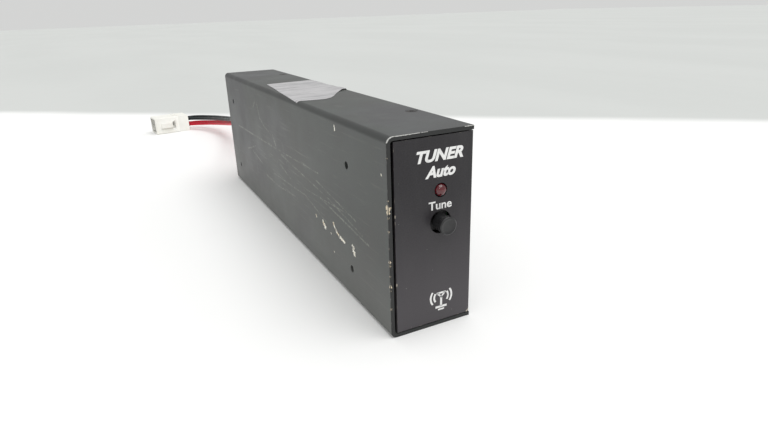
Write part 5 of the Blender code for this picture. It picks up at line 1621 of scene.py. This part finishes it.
# %% [markdown]
# ## Stage
# A wide pale floor and soft studio light: a very wide sun nearly overhead, a pale world that fills the
# shadows, and one small lamp that puts a spark on the red lens. The floor is a touch greyer beyond a line
# behind the case.

# %% Floor
FLOOR_REACH = 9.0


def pale_floor():
    """A pale floor, a touch greyer far behind the tuner."""
    material, tree, shader, place = new_material("pale_floor")
    away = Vector((sin(radians(40.0)), cos(radians(40.0)), 0.0))
    along = vectors(tree, "DOT_PRODUCT", place, away, "Value")
    edge = sums(tree, "ADD", along, sums(tree, "MULTIPLY", speckle(tree, place, 5.0, 2.0), 0.03))
    far = fade(tree, edge, 0.345, 0.385)
    rumple = stretched(tree, place, (3.0, 1.2, 1.0), (0.0, 0.0, radians(20.0)))
    rumple = speckle(tree, rumple, 1.0, 4.0, 0.5)
    grey = blend(tree, fade(tree, rumple, 0.35, 0.65), (0.61, 0.625, 0.61), (0.63, 0.645, 0.63))
    tone = blend(tree, far, (0.95, 0.95, 0.945), grey)
    rough = fade(tree, speckle(tree, place, 40.0), 0.3, 0.7, 0.80, 0.92)
    feed(tree, shader, Base_Color=tone, Roughness=rough)
    bumped(tree, shader, speckle(tree, place, 900.0), 0.1 * MM, 0.2)
    return material


floor_mesh = bpy.data.meshes.new("floor")
reach = (-FLOOR_REACH, FLOOR_REACH)
floor_mesh.from_pydata([(x, y, 0) for y in reach for x in reach], [], [(0, 1, 3, 2)])
floor_mesh.materials.append(pale_floor())
floor = bpy.data.objects.new("floor", floor_mesh)
SCENE.collection.objects.link(floor)


# %% Lights
def soft_light(name, place, aim, size, power):
    """A square area light aimed at a point."""
    light = bpy.data.lights.new(name, "AREA")
    light.size = size
    light.energy = power
    thing = bpy.data.objects.new(name, light)
    SCENE.collection.objects.link(thing)
    aimed = (Vector(aim) - Vector(place)).to_track_quat("-Z", "Y").to_matrix().to_4x4()
    thing.matrix_world = Matrix.Translation(place) @ aimed


def distant_light(name, aim, spread, power):
    """A very wide sun: even light all over the floor, with soft shadows."""
    light = bpy.data.lights.new(name, "SUN")
    light.angle = radians(spread)
    light.energy = power
    thing = bpy.data.objects.new(name, light)
    SCENE.collection.objects.link(thing)
    thing.matrix_world = Vector(aim).to_track_quat("-Z", "Y").to_matrix().to_4x4()


world = bpy.data.worlds.new("studio")
world.use_nodes = True
background = world.node_tree.nodes["Background"].inputs
background["Color"].default_value = (0.995, 1.0, 0.99, 1.0)
background["Strength"].default_value = 0.66
SCENE.world = world
SCENE.view_settings.view_transform = "Standard"
distant_light("overhead", (-0.16, 0.22, -1.0), 50.0, 1.45)
soft_light("lamp_glint", (-0.30, -0.62, 0.62), (0.004, -0.13, 0.058), 0.10, 0.5)
